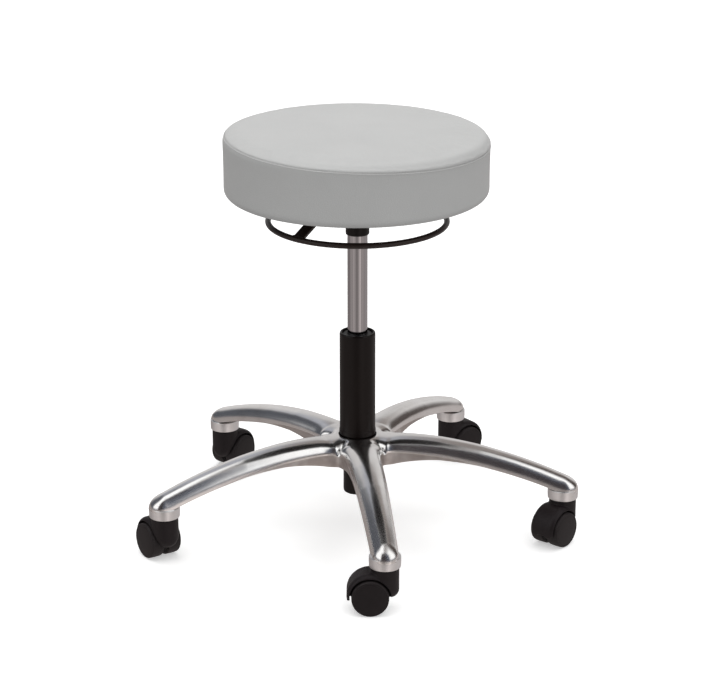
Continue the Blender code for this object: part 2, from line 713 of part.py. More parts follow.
def make_release(look):
    pivot_place = heading(LEVER_TURN) * PIVOT_OFFSET + Vector((0.0, 0.0, PIN_LEVEL))
    pivot = axis_empty("release_pivot", pivot_place, turn_of_x(LEVER_TURN))

    new_object("release_ring", ring_body(RING_ROD_RADIUS), look["ring_paint"], pivot)

    strap = bmesh.new()
    add_prism(strap, lever_side(), -LEVER_WIDTH / 2.0, LEVER_WIDTH / 2.0)
    strap.transform(Matrix.Rotation(math.radians(90.0), 4, "X"))
    lever = new_object("release_lever", strap, look["ring_paint"], pivot)
    sleeve = cross_rod(SLEEVE_RADIUS, LEVER_WIDTH / 2.0, INNER_SIDES)
    combine(lever, new_object("lever_sleeve", sleeve, parent=pivot, helper=True), "UNION")
    bore = cross_rod(PIN_RADIUS + CLEARANCE, LEVER_WIDTH / 2.0 + CUT_PAST, INNER_SIDES)
    combine(lever, new_object("lever_pin_hole", bore, parent=pivot, helper=True), "DIFFERENCE")
    saddle = ring_body(RING_ROD_RADIUS + CLEARANCE)
    combine(lever, new_object("lever_saddle", saddle, parent=pivot, helper=True), "DIFFERENCE")

    half_width = BRACKET_HALF_WIDTH
    top = PLATE_BOTTOM - CLEARANCE - PIN_LEVEL
    bottom = top - BRACKET_DEPTH
    inner = half_width - BRACKET_WALL
    web = bottom + BRACKET_WALL
    section = [(-half_width, top), (-half_width, bottom), (half_width, bottom), (half_width, top)]
    section += [(inner, top), (inner, web), (-inner, web), (-inner, top)]
    channel = bmesh.new()
    add_prism(channel, section, -BRACKET_HALF_LENGTH - PIVOT_OFFSET, BRACKET_HALF_LENGTH - PIVOT_OFFSET)
    channel.transform(Matrix(((0, 0, 1, 0), (1, 0, 0, 0), (0, 1, 0, 0), (0, 0, 0, 1))))
    bracket = new_object("lever_bracket", channel, look["powder_coat"], pivot)
    cuts = cross_rod(PIN_RADIUS + CLEARANCE, half_width + CUT_PAST, INNER_SIDES)
    hole = rod_outline(SOCKET_RADIUS + CLEARANCE, bottom - CUT_PAST, web + CUT_PAST)
    add_turned(cuts, hole, TUBE_SIDES, at((-PIVOT_OFFSET, 0.0, 0.0)))
    combine(bracket, new_object("bracket_holes", cuts, parent=pivot, helper=True), "DIFFERENCE")
    new_object("lever_pin", cross_rod(PIN_RADIUS, half_width, SMALL_SIDES), look["steel"], pivot)


def plate_turn():
    """Rotation of the seat plate and its bolts, square with the lever."""
    return Matrix.Rotation(turn_of_x(LEVER_TURN), 4, "Z")


def bolt_places():
    corners = [Vector((x * BOLT_SPREAD, y * BOLT_SPREAD, 0.0)) for x in (-1, 1) for y in (-1, 1)]
    return [plate_turn() @ corner for corner in corners]


def make_seat_plate(look):
    half = PLATE_SIZE / 2.0
    plate = bmesh.new()
    add_prism(plate, [(-half, -half), (half, -half), (half, half), (-half, half)], PLATE_BOTTOM, PLATE_TOP)
    plate.transform(plate_turn())
    holes = bmesh.new()
    for place in bolt_places():
        hole = rod_outline(BOLT_RADIUS + CLEARANCE, PLATE_BOTTOM - CUT_PAST, DUST_COVER_TOP + DUST_COVER)
        add_turned(holes, hole, SMALL_SIDES, at(place))
    bolt_holes = new_object("bolt_holes", holes, helper=True)
    combine(new_object("seat_plate", plate, look["powder_coat"]), bolt_holes, "DIFFERENCE")
    cover = rod_outline(MARGIN_RADIUS + DUST_COVER_LAP, DUST_COVER_TOP - DUST_COVER, DUST_COVER_TOP)
    combine(new_object("dust_cover", turned(cover, SEAT_SIDES), look["cambric"]), bolt_holes, "DIFFERENCE")

    head_top = PLATE_BOTTOM - CLEARANCE
    bolt = [
        (0.0, BOARD_TOP - BOLT_SHORT),
        (BOLT_RADIUS, BOARD_TOP - BOLT_SHORT),
        (BOLT_RADIUS, head_top),
        (BOLT_HEAD_RADIUS, head_top),
        (BOLT_HEAD_RADIUS, head_top - BOLT_HEAD_HEIGHT),
        (0.0, head_top - BOLT_HEAD_HEIGHT),
    ]
    nut = [
        (NUT_FLANGE_RADIUS, BOARD_TOP),
        (NUT_FLANGE_RADIUS, BOARD_TOP - NUT_FLANGE),
        (NUT_RADIUS, BOARD_TOP - NUT_FLANGE),
        (NUT_RADIUS, BOARD_BOTTOM + NUT_LIFT),
        (BOLT_RADIUS + CLEARANCE, BOARD_BOTTOM + NUT_LIFT),
        (BOLT_RADIUS + CLEARANCE, BOARD_TOP),
    ]
    for number, place in enumerate(bolt_places(), 1):
        new_object(f"seat_bolt_{number}", turned(bolt, SMALL_SIDES), look["steel"]).location = place
        new_object(f"tee_nut_{number}", turned(nut, SMALL_SIDES), look["steel"]).location = place


# Seat


def cover_outline():
    """Outside of the covered seat, from the crown to the turned-under margin, and the index of the seam."""
    edge_radius = SEAT_RADIUS - EDGE_ROUND
    edge_level = CROWN_TOP - CROWN_DOME
    points = [(0.0, CROWN_TOP), (CROWN_FLAT_RADIUS, CROWN_TOP)]
    for step in range(1, DOME_STEPS + 1):
        share = step / DOME_STEPS
        radius = CROWN_FLAT_RADIUS + (edge_radius - CROWN_FLAT_RADIUS) * share
        points.append((radius, CROWN_TOP - CROWN_DOME * share * share))
    for slant in EDGE_SLANTS:
        angle = math.radians(slant)
        radius = edge_radius + EDGE_ROUND * math.sin(angle)
        points.append((radius, SEAM_LEVEL + (edge_level - SEAM_LEVEL) * math.cos(angle)))
    seam = len(points) - 1
    foot_radius = SEAT_RADIUS - BAND_TAPER
    foot_level = SEAT_BOTTOM + FOOT_ROUND
    for step in range(1, SIDE_STEPS + 1):
        share = step / SIDE_STEPS
        draw = BAND_DRAW * math.sin(math.pi * share)
        radius = SEAT_RADIUS + (foot_radius - SEAT_RADIUS) * share - draw
        points.append((radius, SEAM_LEVEL + (foot_level - SEAM_LEVEL) * share))
    corner = (foot_radius - FOOT_ROUND, foot_level)
    points += arc(corner, FOOT_ROUND, -30.0, -90.0, 2)
    points.append((MARGIN_RADIUS, SEAT_BOTTOM))
    return points, seam


def make_seat(look):
    outside, seam = cover_outline()
    inside = offset_outline(outside, VINYL)
    filling = offset_outline(outside, VINYL + CLEARANCE)

    top = outside[: seam + 1] + inside[seam::-1]
    new_object("seat_top_cover", turned(top, SEAT_SIDES), look["vinyl"])
    band_out = [(outside[seam][0], outside[seam][1] - CLEARANCE)] + outside[seam + 1 :]
    band_in = [(inside[seam][0], inside[seam][1] - CLEARANCE)] + inside[seam + 1 :]
    new_object("seat_side_band", turned(band_out + band_in[::-1], SEAT_SIDES), look["vinyl"])

    foam = [point for point in filling if point[1] > FOAM_BOTTOM]
    foam += [(radius_at(filling, FOAM_BOTTOM), FOAM_BOTTOM), (0.0, FOAM_BOTTOM)]
    new_object("seat_foam", turned(foam, SEAT_SIDES), look["foam"])

    rim = [point for point in filling[:-1] if BOARD_BOTTOM < point[1] < BOARD_TOP]
    edge = radius_at(filling, BOARD_TOP)
    board = [(0.0, BOARD_TOP), (edge, BOARD_TOP)] + rim
    board += [(filling[-2][0], BOARD_BOTTOM), (0.0, BOARD_BOTTOM)]
    nut_holes = bmesh.new()
    for place in bolt_places():
        flange = NUT_FLANGE_RADIUS + CLEARANCE
        barrel = NUT_RADIUS + CLEARANCE
        step_level = BOARD_TOP - NUT_FLANGE - CLEARANCE
        hole = [(0.0, BOARD_TOP + CUT_PAST), (flange, BOARD_TOP + CUT_PAST), (flange, step_level)]
        hole += [(barrel, step_level), (barrel, BOARD_BOTTOM - CUT_PAST), (0.0, BOARD_BOTTOM - CUT_PAST)]
        add_turned(nut_holes, hole, SMALL_SIDES, at(place))
    seat_board = new_object("seat_board", turned(board, SEAT_SIDES), look["plywood"])
    combine(seat_board, new_object("nut_holes", nut_holes, helper=True), "DIFFERENCE")


# Casters, in a frame with the stem on Z and the wheels trailing along +X


def hood_mesh(look):
    """The moulded hood: neck, crown over the wheels and the web between them."""
    neck = [(0.0, HOOD_TOP), (NECK_RADIUS, HOOD_TOP)]
    neck += arc((NECK_RADIUS - NECK_ROUND, NECK_BOTTOM + NECK_ROUND), NECK_ROUND, 0.0, -90.0, 3)
    neck.append((0.0, NECK_BOTTOM))
    hood = new_object("hood_pattern", turned(neck, HOOD_SIDES), look["plastic"])
    axle = (CASTER_TRAIL, WHEEL_RADIUS)
    boss = arc(axle, AXLE_BOSS_RADIUS, 180.0, 360.0 + FENDER_REAR, BOSS_STEPS)
    flat = HOOD_HALF_WIDTH - HOOD_EDGE
    outlines = []
    for y, inset in ((-HOOD_HALF_WIDTH, HOOD_EDGE), (-flat, 0.0), (flat, 0.0), (HOOD_HALF_WIDTH, HOOD_EDGE)):
        crown = arc(axle, HOOD_RADIUS - inset, FENDER_REAR, FENDER_FRONT, CROWN_STEPS)
        crown.append((0.0, WHEEL_RADIUS + AXLE_BOSS_RADIUS))
        outlines.append([(x, y, z) for x, z in crown + boss])
    fender = bmesh.new()
    add_loft(fender, outlines)
    combine(hood, new_object("hood_crown", fender, helper=True), "UNION", "MANIFOLD")
    cuts = bmesh.new()
    axle_place = (CASTER_TRAIL, 0.0, WHEEL_RADIUS)
    pocket = rod_outline(WHEEL_RADIUS + WHEEL_GAP, WEB_WIDTH / 2.0, HOOD_HALF_WIDTH + CUT_PAST)
    for side in (-1, 1):
        add_turned(cuts, pocket, HOOD_SIDES, sideways(side, axle_place))
    combine(hood, new_object("wheel_pockets", cuts, helper=True), "DIFFERENCE", "MANIFOLD")
    bores = bmesh.new()
    axle_hole = rod_outline(AXLE_RADIUS + CLEARANCE, -HOOD_HALF_WIDTH, HOOD_HALF_WIDTH)
    add_turned(bores, axle_hole, SMALL_SIDES, sideways(1, axle_place))
    pintle_end = HOOD_TOP - PINTLE_LENGTH - CLEARANCE
    pintle = rod_outline(PINTLE_RADIUS + CLEARANCE, pintle_end, HOOD_TOP + CUT_PAST)
    add_turned(bores, pintle, SMALL_SIDES)
    combine(hood, new_object("hood_bores", bores, helper=True), "DIFFERENCE", "MANIFOLD")
    mesh = evaluated_mesh(hood)
    for helper in ("hood_pattern", "hood_crown", "wheel_pockets", "hood_bores"):
        bpy.data.objects.remove(bpy.data.objects[helper], do_unlink=True)
    return mesh


def wheel_mesh(look, side):
    """A wheel about its axle along Y, with a flat facet straight down."""
    corner = WHEEL_RADIUS / math.cos(math.pi / WHEEL_SIDES)
    inner = WEB_WIDTH / 2.0 + WHEEL_SIDE_GAP
    outer = inner + WHEEL_WIDTH
    bore = AXLE_RADIUS + CLEARANCE
    bore_end = inner + AXLE_REACH + CLEARANCE
    outline = [
        (0.0, outer),
        (WHEEL_FACE_RADIUS, outer - WHEEL_DOME),
        (corner, outer - WHEEL_EDGE),
        (corner, inner),
        (bore, inner),
        (bore, bore_end),
        (0.0, bore_end),
    ]
    wheel = turned(outline, WHEEL_SIDES, sideways(side), math.pi / WHEEL_SIDES)
    mesh = bpy.data.meshes.new("wheel_pattern")
    wheel.to_mesh(mesh)
    wheel.free()
    mesh.shade_smooth()
    mesh.set_sharp_from_angle(angle=math.radians(35.0))
    mesh.materials.append(look["plastic"])
    return mesh


def make_casters(look):
    hood = hood_mesh(look)
    wheels = {"left": wheel_mesh(look, 1), "right": wheel_mesh(look, -1)}
    reach = WEB_WIDTH / 2.0 + WHEEL_SIDE_GAP + AXLE_REACH
    stem = [
        (0.0, BOSS_BOTTOM + STEM_LENGTH),
        (STEM_RADIUS, BOSS_BOTTOM + STEM_LENGTH),
        (STEM_RADIUS, BOSS_BOTTOM + CLEARANCE),
        (PINTLE_RADIUS, BOSS_BOTTOM + CLEARANCE),
        (PINTLE_RADIUS, HOOD_TOP - PINTLE_LENGTH),
        (0.0, HOOD_TOP - PINTLE_LENGTH),
    ]
    for number, (arm, trail) in enumerate(zip(arm_turns(), CASTER_TURNS), 1):
        place = heading(arm) * STEM_CIRCLE
        swivel = axis_empty(f"caster_{number}_swivel", place, turn_of_x(trail))
        new_object(f"caster_stem_{number}", turned(stem, SMALL_SIDES), look["steel"]).location = place
        new_object(f"caster_hood_{number}", hood, look["plastic"], swivel)
        rod = cross_rod(AXLE_RADIUS, reach, SMALL_SIDES)
        axle = new_object(f"caster_axle_{number}", rod, look["steel"], swivel)
        axle.location = (CASTER_TRAIL, 0.0, WHEEL_RADIUS)
        for side, mesh in wheels.items():
            wheel = new_object(f"wheel_{number}_{side}", mesh, look["plastic"], swivel)
            wheel.location = (CASTER_TRAIL, 0.0, WHEEL_RADIUS)


def main():
    clear_scene()
    look = finishes()
    make_base(look)
    make_gas_lift(look)
    make_release(look)
    make_seat_plate(look)
    make_seat(look)
    make_casters(look)


main()
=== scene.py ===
"""Looks of the exam stool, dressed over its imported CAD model.

Metres, +Z up. The origin is on the floor, on the axis of the column, and the viewer stands at -Y.
"""

import json
import math

import bmesh
import bpy
from mathutils import Matrix, Vector, noise


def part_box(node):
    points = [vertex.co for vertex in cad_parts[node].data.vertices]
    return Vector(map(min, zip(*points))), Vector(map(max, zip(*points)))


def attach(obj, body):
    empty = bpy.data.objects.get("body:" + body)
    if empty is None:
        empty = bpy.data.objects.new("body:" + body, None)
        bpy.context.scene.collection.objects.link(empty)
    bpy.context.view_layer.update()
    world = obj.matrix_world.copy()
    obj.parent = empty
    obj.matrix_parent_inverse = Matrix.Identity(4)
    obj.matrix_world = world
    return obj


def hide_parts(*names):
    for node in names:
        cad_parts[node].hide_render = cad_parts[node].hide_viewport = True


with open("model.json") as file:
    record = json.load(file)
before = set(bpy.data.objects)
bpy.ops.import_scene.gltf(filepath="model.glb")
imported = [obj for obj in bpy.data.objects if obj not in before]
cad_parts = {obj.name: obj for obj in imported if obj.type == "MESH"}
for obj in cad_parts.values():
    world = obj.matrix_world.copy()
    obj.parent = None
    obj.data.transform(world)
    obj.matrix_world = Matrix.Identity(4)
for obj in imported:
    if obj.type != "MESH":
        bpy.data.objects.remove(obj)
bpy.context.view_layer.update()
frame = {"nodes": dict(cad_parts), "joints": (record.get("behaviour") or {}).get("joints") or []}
joint_of = {joint["name"]: joint for joint in frame["joints"]}


def axis_point(joint):
    return Vector(joint_of[joint]["pos_m"])


# Sizes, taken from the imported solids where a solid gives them
CASTERS = range(1, 6)
BOLTS = range(1, 5)
STAPLES = 44
STEMS = [axis_point(f"caster_{number}_swivel") for number in CASTERS]
STEM_CIRCLE = STEMS[0].xy.length
STEM_BORE = 0.0059
BOSS_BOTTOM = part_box("base_casting")[0].z
BOSS_RADIUS = 0.0213
BOSS_TOP = BOSS_BOTTOM + 0.0145
NOSE_TOP = BOSS_TOP + 0.0190
NOSE_REACH = 0.0217  # tip of the nose beyond the stem
NOSE_FULLNESS = 0.85  # below 1 the nose is squarer than an ellipse, seen from above
NOSE_DIP = 0.0012  # the polish runs this much further down the front of the collar
NOSE_STEPS = 12

HUB_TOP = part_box("base_casting")[1].z
HUB_BOTTOM = HUB_TOP - 0.0345
HUB_CORNER = 0.0550  # from the column's axis to where two arms meet
HUB_BORE = 0.0263
PLATE_END = 0.0462  # end of the plate round the column, along the middle of an arm
PLATE_UNDER_END = 0.0440
PLATE_CAP_DEPTH = 0.0190
PLATE_FULLNESS = 2.80
PLATE_FOOT_SHARE = 0.975

ARM_PITCH = math.radians(72.0)
HALF_PITCH = ARM_PITCH / 2.0
FIRST_ARM = math.atan2(STEMS[0].y, STEMS[0].x)
ARM_ROOT = HUB_CORNER * math.cos(HALF_PITCH)
ARM_LEVEL = 0.0600  # an arm's top is level this far out
ARM_RUN = STEM_CIRCLE - ARM_LEVEL
ARM_DROP = HUB_TOP - NOSE_TOP
ARM_ARC = (ARM_RUN * ARM_RUN + ARM_DROP * ARM_DROP) / (2.0 * ARM_DROP)  # radius of the crest's arc
ARM_ARCH = 0.0034  # rise of an arm's middle above that arc
ARCH_START = 0.0500
ARM_ROOT_HALF_WIDTH = 0.0248
ARM_TIP_HALF_WIDTH = 0.0185
ROOT_FLARE = 0.0075
ARM_DEPTH = 0.0191
ARM_TIP_SWELL = 0.0030
ARM_WALL = 0.0045
CAP_DEPTH = 0.0157
CAP_FULLNESS = 2.05  # 2 is an ellipse, more is squarer
HUB_FULLNESS = 2.25
FULLNESS_FADE = 0.0600
CAGE_LIFT = 0.00025  # makes up for what the subdivision takes off a crest
CAP_STEPS = 10
CAP_TURNS = [math.pi * step / CAP_STEPS - math.pi / 2.0 for step in range(CAP_STEPS + 1)]
UNDER_START = CAP_STEPS + 4  # place of the underside's first point in a section
CREASE_TOP = 0.0007  # the crease below the polished cap starts and ends this far below it
CREASE_END = 0.0020
SIDE_FOOT = 0.0012
SKIRT_END = 0.1850
SATIN_END = 0.2050
SATIN_FADE = 0.0600
RIBS = (0.1180, 0.1780)
SOLID, OPEN, RIB = 0.0, 0.0001, 0.0090  # no hollow, or how far it stops below the arm's top wall

COLUMN_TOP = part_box("outer_column")[1].z
COLUMN_RADIUS = 0.0250
COLUMN_BORE = 0.0214
TAIL_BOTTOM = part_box("outer_column")[0].z
TAIL_RADIUS = 0.0200
TUBE_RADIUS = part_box("pressure_tube")[1].x
TUBE_BORE = 0.0125
SOCKET_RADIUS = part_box("seat_socket")[1].x
SOCKET_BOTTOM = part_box("seat_socket")[0].z
SOCKET_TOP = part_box("seat_socket")[1].z

PIVOT = axis_point("release_ring_tilt")
LEVER_WAY = Vector((PIVOT.x, PIVOT.y, 0.0)).normalized()
RING_LOW, RING_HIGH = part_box("release_ring")
RING_LEVEL = (RING_LOW.z + RING_HIGH.z) / 2.0
RING_ROD = (RING_HIGH.z - RING_LOW.z) / 2.0
RING_RADIUS = 0.1224
WELD_LENGTH = 0.0160
WELD_RIPPLES = 9
UP = Vector((0.0, 0.0, 1.0))

SEAT_RADIUS = 0.1815
SEAT_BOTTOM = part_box("seat_side_band")[0].z
CROWN_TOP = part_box("seat_top_cover")[1].z
CROWN_START = CROWN_TOP - 0.0014  # middle of the crown before it swells
CROWN_SHARES = (0.03, 0.07, 0.13, 0.20, 0.28, 0.36, 0.44, 0.52, 0.60, 0.68, 0.76, 0.83, 0.89, 0.94, 0.975)
SEAT_STEPS = 192
SEAM_DROP = 0.0150  # the seam's mean level below the crown's top
SEAM_SLOPE = 0.0066
SEAM_WANDER = 0.0005
COVER_SHIFT = 0.0012
EDGE_DROP = 0.0036  # from the crown's top to the start of the rounded edge
EDGE_DIP_RIGHT = 0.0011  # half of what that edge loses from left to right
EDGE_RISE_BACK = 0.0004  # half of what it gains from front to back
EDGE_STEPS = 8
EDGE_ROUND = 0.0125
EDGE_TURN = EDGE_ROUND * math.pi / 2.0  # way over the rounded edge
FOOT_ROUND = 0.0100
SIDE_DRAW = 0.0003
SIDE_TAPER = 0.0006
BAND_STEPS = 14
FOOT_STEPS = 6
MARGIN_STEPS = 4
MARGIN_RADIUS = 0.1500  # inner edge of the cover, below the seat
MARGIN_LEVEL = SEAT_BOTTOM + 0.0010
SEAM_FOLD = (  # (way past the seam, depth): a groove, then the folded edge of the band
    (-0.0017, 0.0),
    (-0.0009, 0.0003),
    (-0.0002, 0.0005),
    (0.0004, 0.0002),
    (0.0010, -0.0004),
    (0.0017, -0.0003),
    (0.0026, 0.0),
)
SWELL_CAP = 0.0022  # the cloth run moves no point further
SWELL_FRAMES = 20
COVER_CLOTH = {
    "quality": 6,
    "mass": 0.25,
    "tension_stiffness": 22.0,
    "compression_stiffness": 22.0,
    "shear_stiffness": 9.0,
    "bending_stiffness": 1.2,
    "use_pressure": True,
    "uniform_pressure_force": 4.0,
    "vertex_group_mass": "held",
}
STITCHES = 300

AXLE_LEVEL = axis_point("wheel_1_left_spin").z
CASTER_TRAIL = (axis_point("wheel_1_left_spin") - STEMS[0]).xy.length
WHEEL_RADIUS = AXLE_LEVEL
WHEEL_WIDTH = 0.0184
WHEEL_BORE = 0.0033
WHEEL_START = 0.0040  # a wheel's inner face, from the middle of its caster
TREAD_START = 0.0230
TREAD_FADE = 0.0015
HOOD_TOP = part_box("caster_hood_1")[1].z
HOOD_BOX = ((-0.0260, -0.0260, 0.0080), (0.0560, 0.0260, 0.0680))  # where the hood's form is worked out

FLOOR_RADIUS = 40.0
ROOM_LIGHT = 0.48
CAMERA_PLACE = (0.00277, -3.19908, 1.37401)
CAMERA_TILT = math.radians(71.027)
CAMERA_LENS = 121.74


# Node trees


class Field:
    """A number that a node tree works out, written as ordinary arithmetic."""

    def __init__(self, tree, socket):
        self.tree = tree
        self.socket = socket

    def math(self, operation, *others):
        made = self.tree.nodes.new("ShaderNodeMath")
        made.operation = operation
        for slot, value in zip(made.inputs, (self, *others)):
            if isinstance(value, Field):
                self.tree.links.new(value.socket, slot)
            else:
                slot.default_value = value
        return Field(self.tree, made.outputs[0])

    def __add__(self, other):
        return self.math("ADD", other)

    def __sub__(self, other):
        return self.math("SUBTRACT", other)

    def __mul__(self, other):
        return self.math("MULTIPLY", other)

    def __neg__(self):
        return self.math("MULTIPLY", -1.0)

    def squared(self):
        return self.math("MULTIPLY", self)

    def root(self):
        return self.math("SQRT")

    def size(self):
        return self.math("ABSOLUTE")

    def least(self, other, blend=0.0):
        return self.math("SMOOTH_MIN", other, blend) if blend else self.math("MINIMUM", other)

    def most(self, other, blend=0.0):
        return self.math("SMOOTH_MAX", other, blend) if blend else self.math("MAXIMUM", other)

    def rest(self):
        """What is left up to 1."""
        return self.math("MULTIPLY_ADD", -1.0, 1.0)

    def cut_by(self, other, radius):
        """Distance to where two solids overlap, its edge rounded to a radius."""
        first = self + radius
        second = other + radius
        outside = (first.most(0.0).squared() + second.most(0.0).squared()).root()
        return outside + first.most(second).least(0.0) - radius

    def ease(self, low, high):
        """0 below low and 1 above high, with a soft step between them."""
        made = self.tree.nodes.new("ShaderNodeMapRange")
        made.interpolation_type = "SMOOTHSTEP"
        self.tree.links.new(self.socket, made.inputs["Value"])
        made.inputs["From Min"].default_value = low
        made.inputs["From Max"].default_value = high
        return Field(self.tree, made.outputs["Result"])


def wire(tree, kind, inputs=None, **settings):
    """A node with its settings, its inputs linked or set by name or number.

    A node among the inputs stands for its first output.
    """
    made = tree.nodes.new(kind)
    for label, value in settings.items():
        setattr(made, label, value)
    for label, value in (inputs or {}).items():
        slot = made.inputs[label]
        if isinstance(value, bpy.types.Node):
            tree.links.new(value.outputs[0], slot)
        elif isinstance(value, bpy.types.NodeSocket):
            tree.links.new(value, slot)
        elif isinstance(value, Field):
            tree.links.new(value.socket, slot)
        else:
            slot.default_value = value
    return made


SIZE_SOCKETS = {
    int: "NodeSocketInt",
    float: "NodeSocketFloat",
    bpy.types.Object: "NodeSocketObject",
    bpy.types.Material: "NodeSocketMaterial",
}


def shape_rule(name, sizes):
    """A Geometry Nodes tree with a named input for each size, and those inputs as fields."""
    tree = bpy.data.node_groups.new(name, "GeometryNodeTree")
    tree.interface.new_socket(name="Shape", in_out="OUTPUT", socket_type="NodeSocketGeometry")
    for label, value in sizes.items():
        tree.interface.new_socket(name=label, in_out="INPUT", socket_type=SIZE_SOCKETS[type(value)])
    outputs = tree.nodes.new("NodeGroupInput").outputs
    return tree, {label: Field(tree, outputs[label]) for label in sizes}


def close_rule(tree, shape, material):
    """The tree's end: instances made real, smooth shading and the material."""
    real = wire(tree, "GeometryNodeRealizeInstances", {"Geometry": shape})
    shade = wire(tree, "GeometryNodeSetShadeSmooth", {"Geometry": real, "Shade Smooth": True})
    dressed = wire(tree, "GeometryNodeSetMaterial", {"Geometry": shade, "Material": material})
    end = tree.nodes.new("NodeGroupOutput")
    tree.links.new(dressed.outputs[0], end.inputs[0])


def grow(tree, sizes):
    """The plain mesh that a tree makes from its sizes."""
    seed = scratch_object(bpy.data.meshes.new(tree.name))
    modifier = seed.modifiers.new(tree.name, "NODES")
    modifier.node_group = tree
    for socket in tree.interface.items_tree:
        if socket.in_out == "INPUT":
            modifier[socket.identifier] = sizes[socket.name]
    return applied(seed)


# Mesh making


def held_in(value):
    """The value, kept from 0 to 1."""
    return min(max(value, 0.0), 1.0)


def angles_round(count):
    return [2.0 * math.pi * step / count for step in range(count)]


def on_circle(radius, angle, level):
    return (radius * math.cos(angle), radius * math.sin(angle), level)


def noise_round(angle, radius, level):
    """Smooth noise that closes on itself round the seat."""
    return noise.noise(on_circle(radius, angle, level))


def skin(body, first, second):
    """A strip of faces between two rows of vertices."""
    for index in range(len(first) - 1):
        body.faces.new((first[index], first[index + 1], second[index + 1], second[index]))


def plain_mesh(body, name):
    mesh = bpy.data.meshes.new(name)
    body.to_mesh(mesh)
    body.free()
    return mesh


def mesh_of(body, name):
    """A mesh from a bmesh, merged, with its faces turned outwards."""
    bmesh.ops.remove_doubles(body, verts=body.verts, dist=1e-6)
    bmesh.ops.recalc_face_normals(body, faces=body.faces)
    return plain_mesh(body, name)


def scratch_object(mesh):
    made = bpy.data.objects.new(mesh.name, mesh)
    bpy.context.scene.collection.objects.link(made)
    return made


def applied(made):
    """The object's mesh with its modifiers worked in. The object is removed."""
    graph = bpy.context.evaluated_depsgraph_get()
    mesh = bpy.data.meshes.new_from_object(made.evaluated_get(graph), depsgraph=graph)
    bpy.data.objects.remove(made)
    return mesh


def smooth(mesh, crease=38.0):
    """Smooth shading, with edges kept sharp where faces meet at more than the crease."""
    for face in mesh.polygons:
        face.use_smooth = True
    if crease:
        mesh.set_sharp_from_angle(angle=math.radians(crease))
    return mesh


def subdivided(mesh, levels):
    made = scratch_object(mesh)
    modifier = made.modifiers.new("subdivision", "SUBSURF")
    modifier.levels = levels
    modifier.render_levels = levels
    return applied(made)


def joined(meshes, name):
    body = bmesh.new()
    for mesh in meshes:
        body.from_mesh(mesh)
    return mesh_of(body, name)


def moved(mesh, place):
    copy = mesh.copy()
    copy.transform(place)
    return copy


def rounded(outline, closed=True, steps=6):
    """The outline with each point that has a third number rounded off that far along both its sides."""
    made = []
    last = len(outline) - 1
    for index, point in enumerate(outline):
        corner = Vector(point[:2])
        at_end = not closed and index in (0, last)
        if len(point) < 3 or at_end:
            made.append(tuple(corner))
            continue
        before = Vector(outline[index - 1][:2]) - corner
        after = Vector(outline[(index + 1) % len(outline)][:2]) - corner
        start = corner + before.normalized() * min(point[2], before.length * 0.5)
        end = corner + after.normalized() * min(point[2], after.length * 0.5)
        for step in range(steps + 1):
            share = step / steps
            spot = start * (1.0 - share) ** 2 + corner * 2.0 * share * (1.0 - share) + end * share**2
            made.append(tuple(spot))
    return made


def turned(outline, name, sides=96, place=None):
    """An outline of (radius, level) turned round Z. It is a loop, or starts and ends on the axis."""
    body = bmesh.new()
    rows = []
    on_axis = [radius < 1e-7 for radius, level in outline]
    for (radius, level), single in zip(outline, on_axis):
        if single:
            rows.append([body.verts.new((0.0, 0.0, level))] * sides)
        else:
            rows.append([body.verts.new(on_circle(radius, angle, level)) for angle in angles_round(sides)])
    for low, high in zip(rows, rows[1:] if on_axis[0] else rows[1:] + rows[:1]):
        for step in range(sides):
            after = (step + 1) % sides
            corners = list(dict.fromkeys((low[step], low[after], high[after], high[step])))
            if len(corners) > 2:
                body.faces.new(corners)
    if place:
        body.transform(place)
    return mesh_of(body, name)


def closed_bar(rows, name):
    """A bar from its rows of corners, with a flat face at both ends."""
    body = bmesh.new()
    rings = [[body.verts.new(corner) for corner in row] for row in rows]
    for first, second in zip(rings, rings[1:]):
        skin(body, first + first[:1], second + second[:1])
    body.faces.new(rings[0])
    body.faces.new(rings[-1])
    return mesh_of(body, name)


def softened(node, edge):
    """A copy of a CAD node's mesh with its edges rounded off."""
    body = bmesh.new()
    body.from_mesh(frame["nodes"][node].data)
    bmesh.ops.remove_doubles(body, verts=body.verts, dist=1e-6)
    bmesh.ops.dissolve_limit(body, angle_limit=math.radians(0.5), verts=body.verts, edges=body.edges)
    made = scratch_object(mesh_of(body, node))
    modifier = made.modifiers.new("edge", "BEVEL")
    modifier.width = edge
    modifier.segments = 2
    modifier.limit_method = "ANGLE"
    modifier.angle_limit = math.radians(40.0)
    return smooth(applied(made))


def piece(name, mesh, material, body, stands_for=()):
    """A finished piece that rides on a body, takes a slot's finish and stands for CAD nodes."""
    mesh.name = name
    mesh.materials.clear()
    mesh.materials.append(material)
    made = scratch_object(mesh)
    made.name = name
    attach(made, body)
    if stands_for:
        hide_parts(*stands_for)
    return made


def turned_piece(name, outline, material, body, node):
    mesh = smooth(turned(rounded(outline), name))
    piece(name, mesh, material, body, [node])


# Finishes


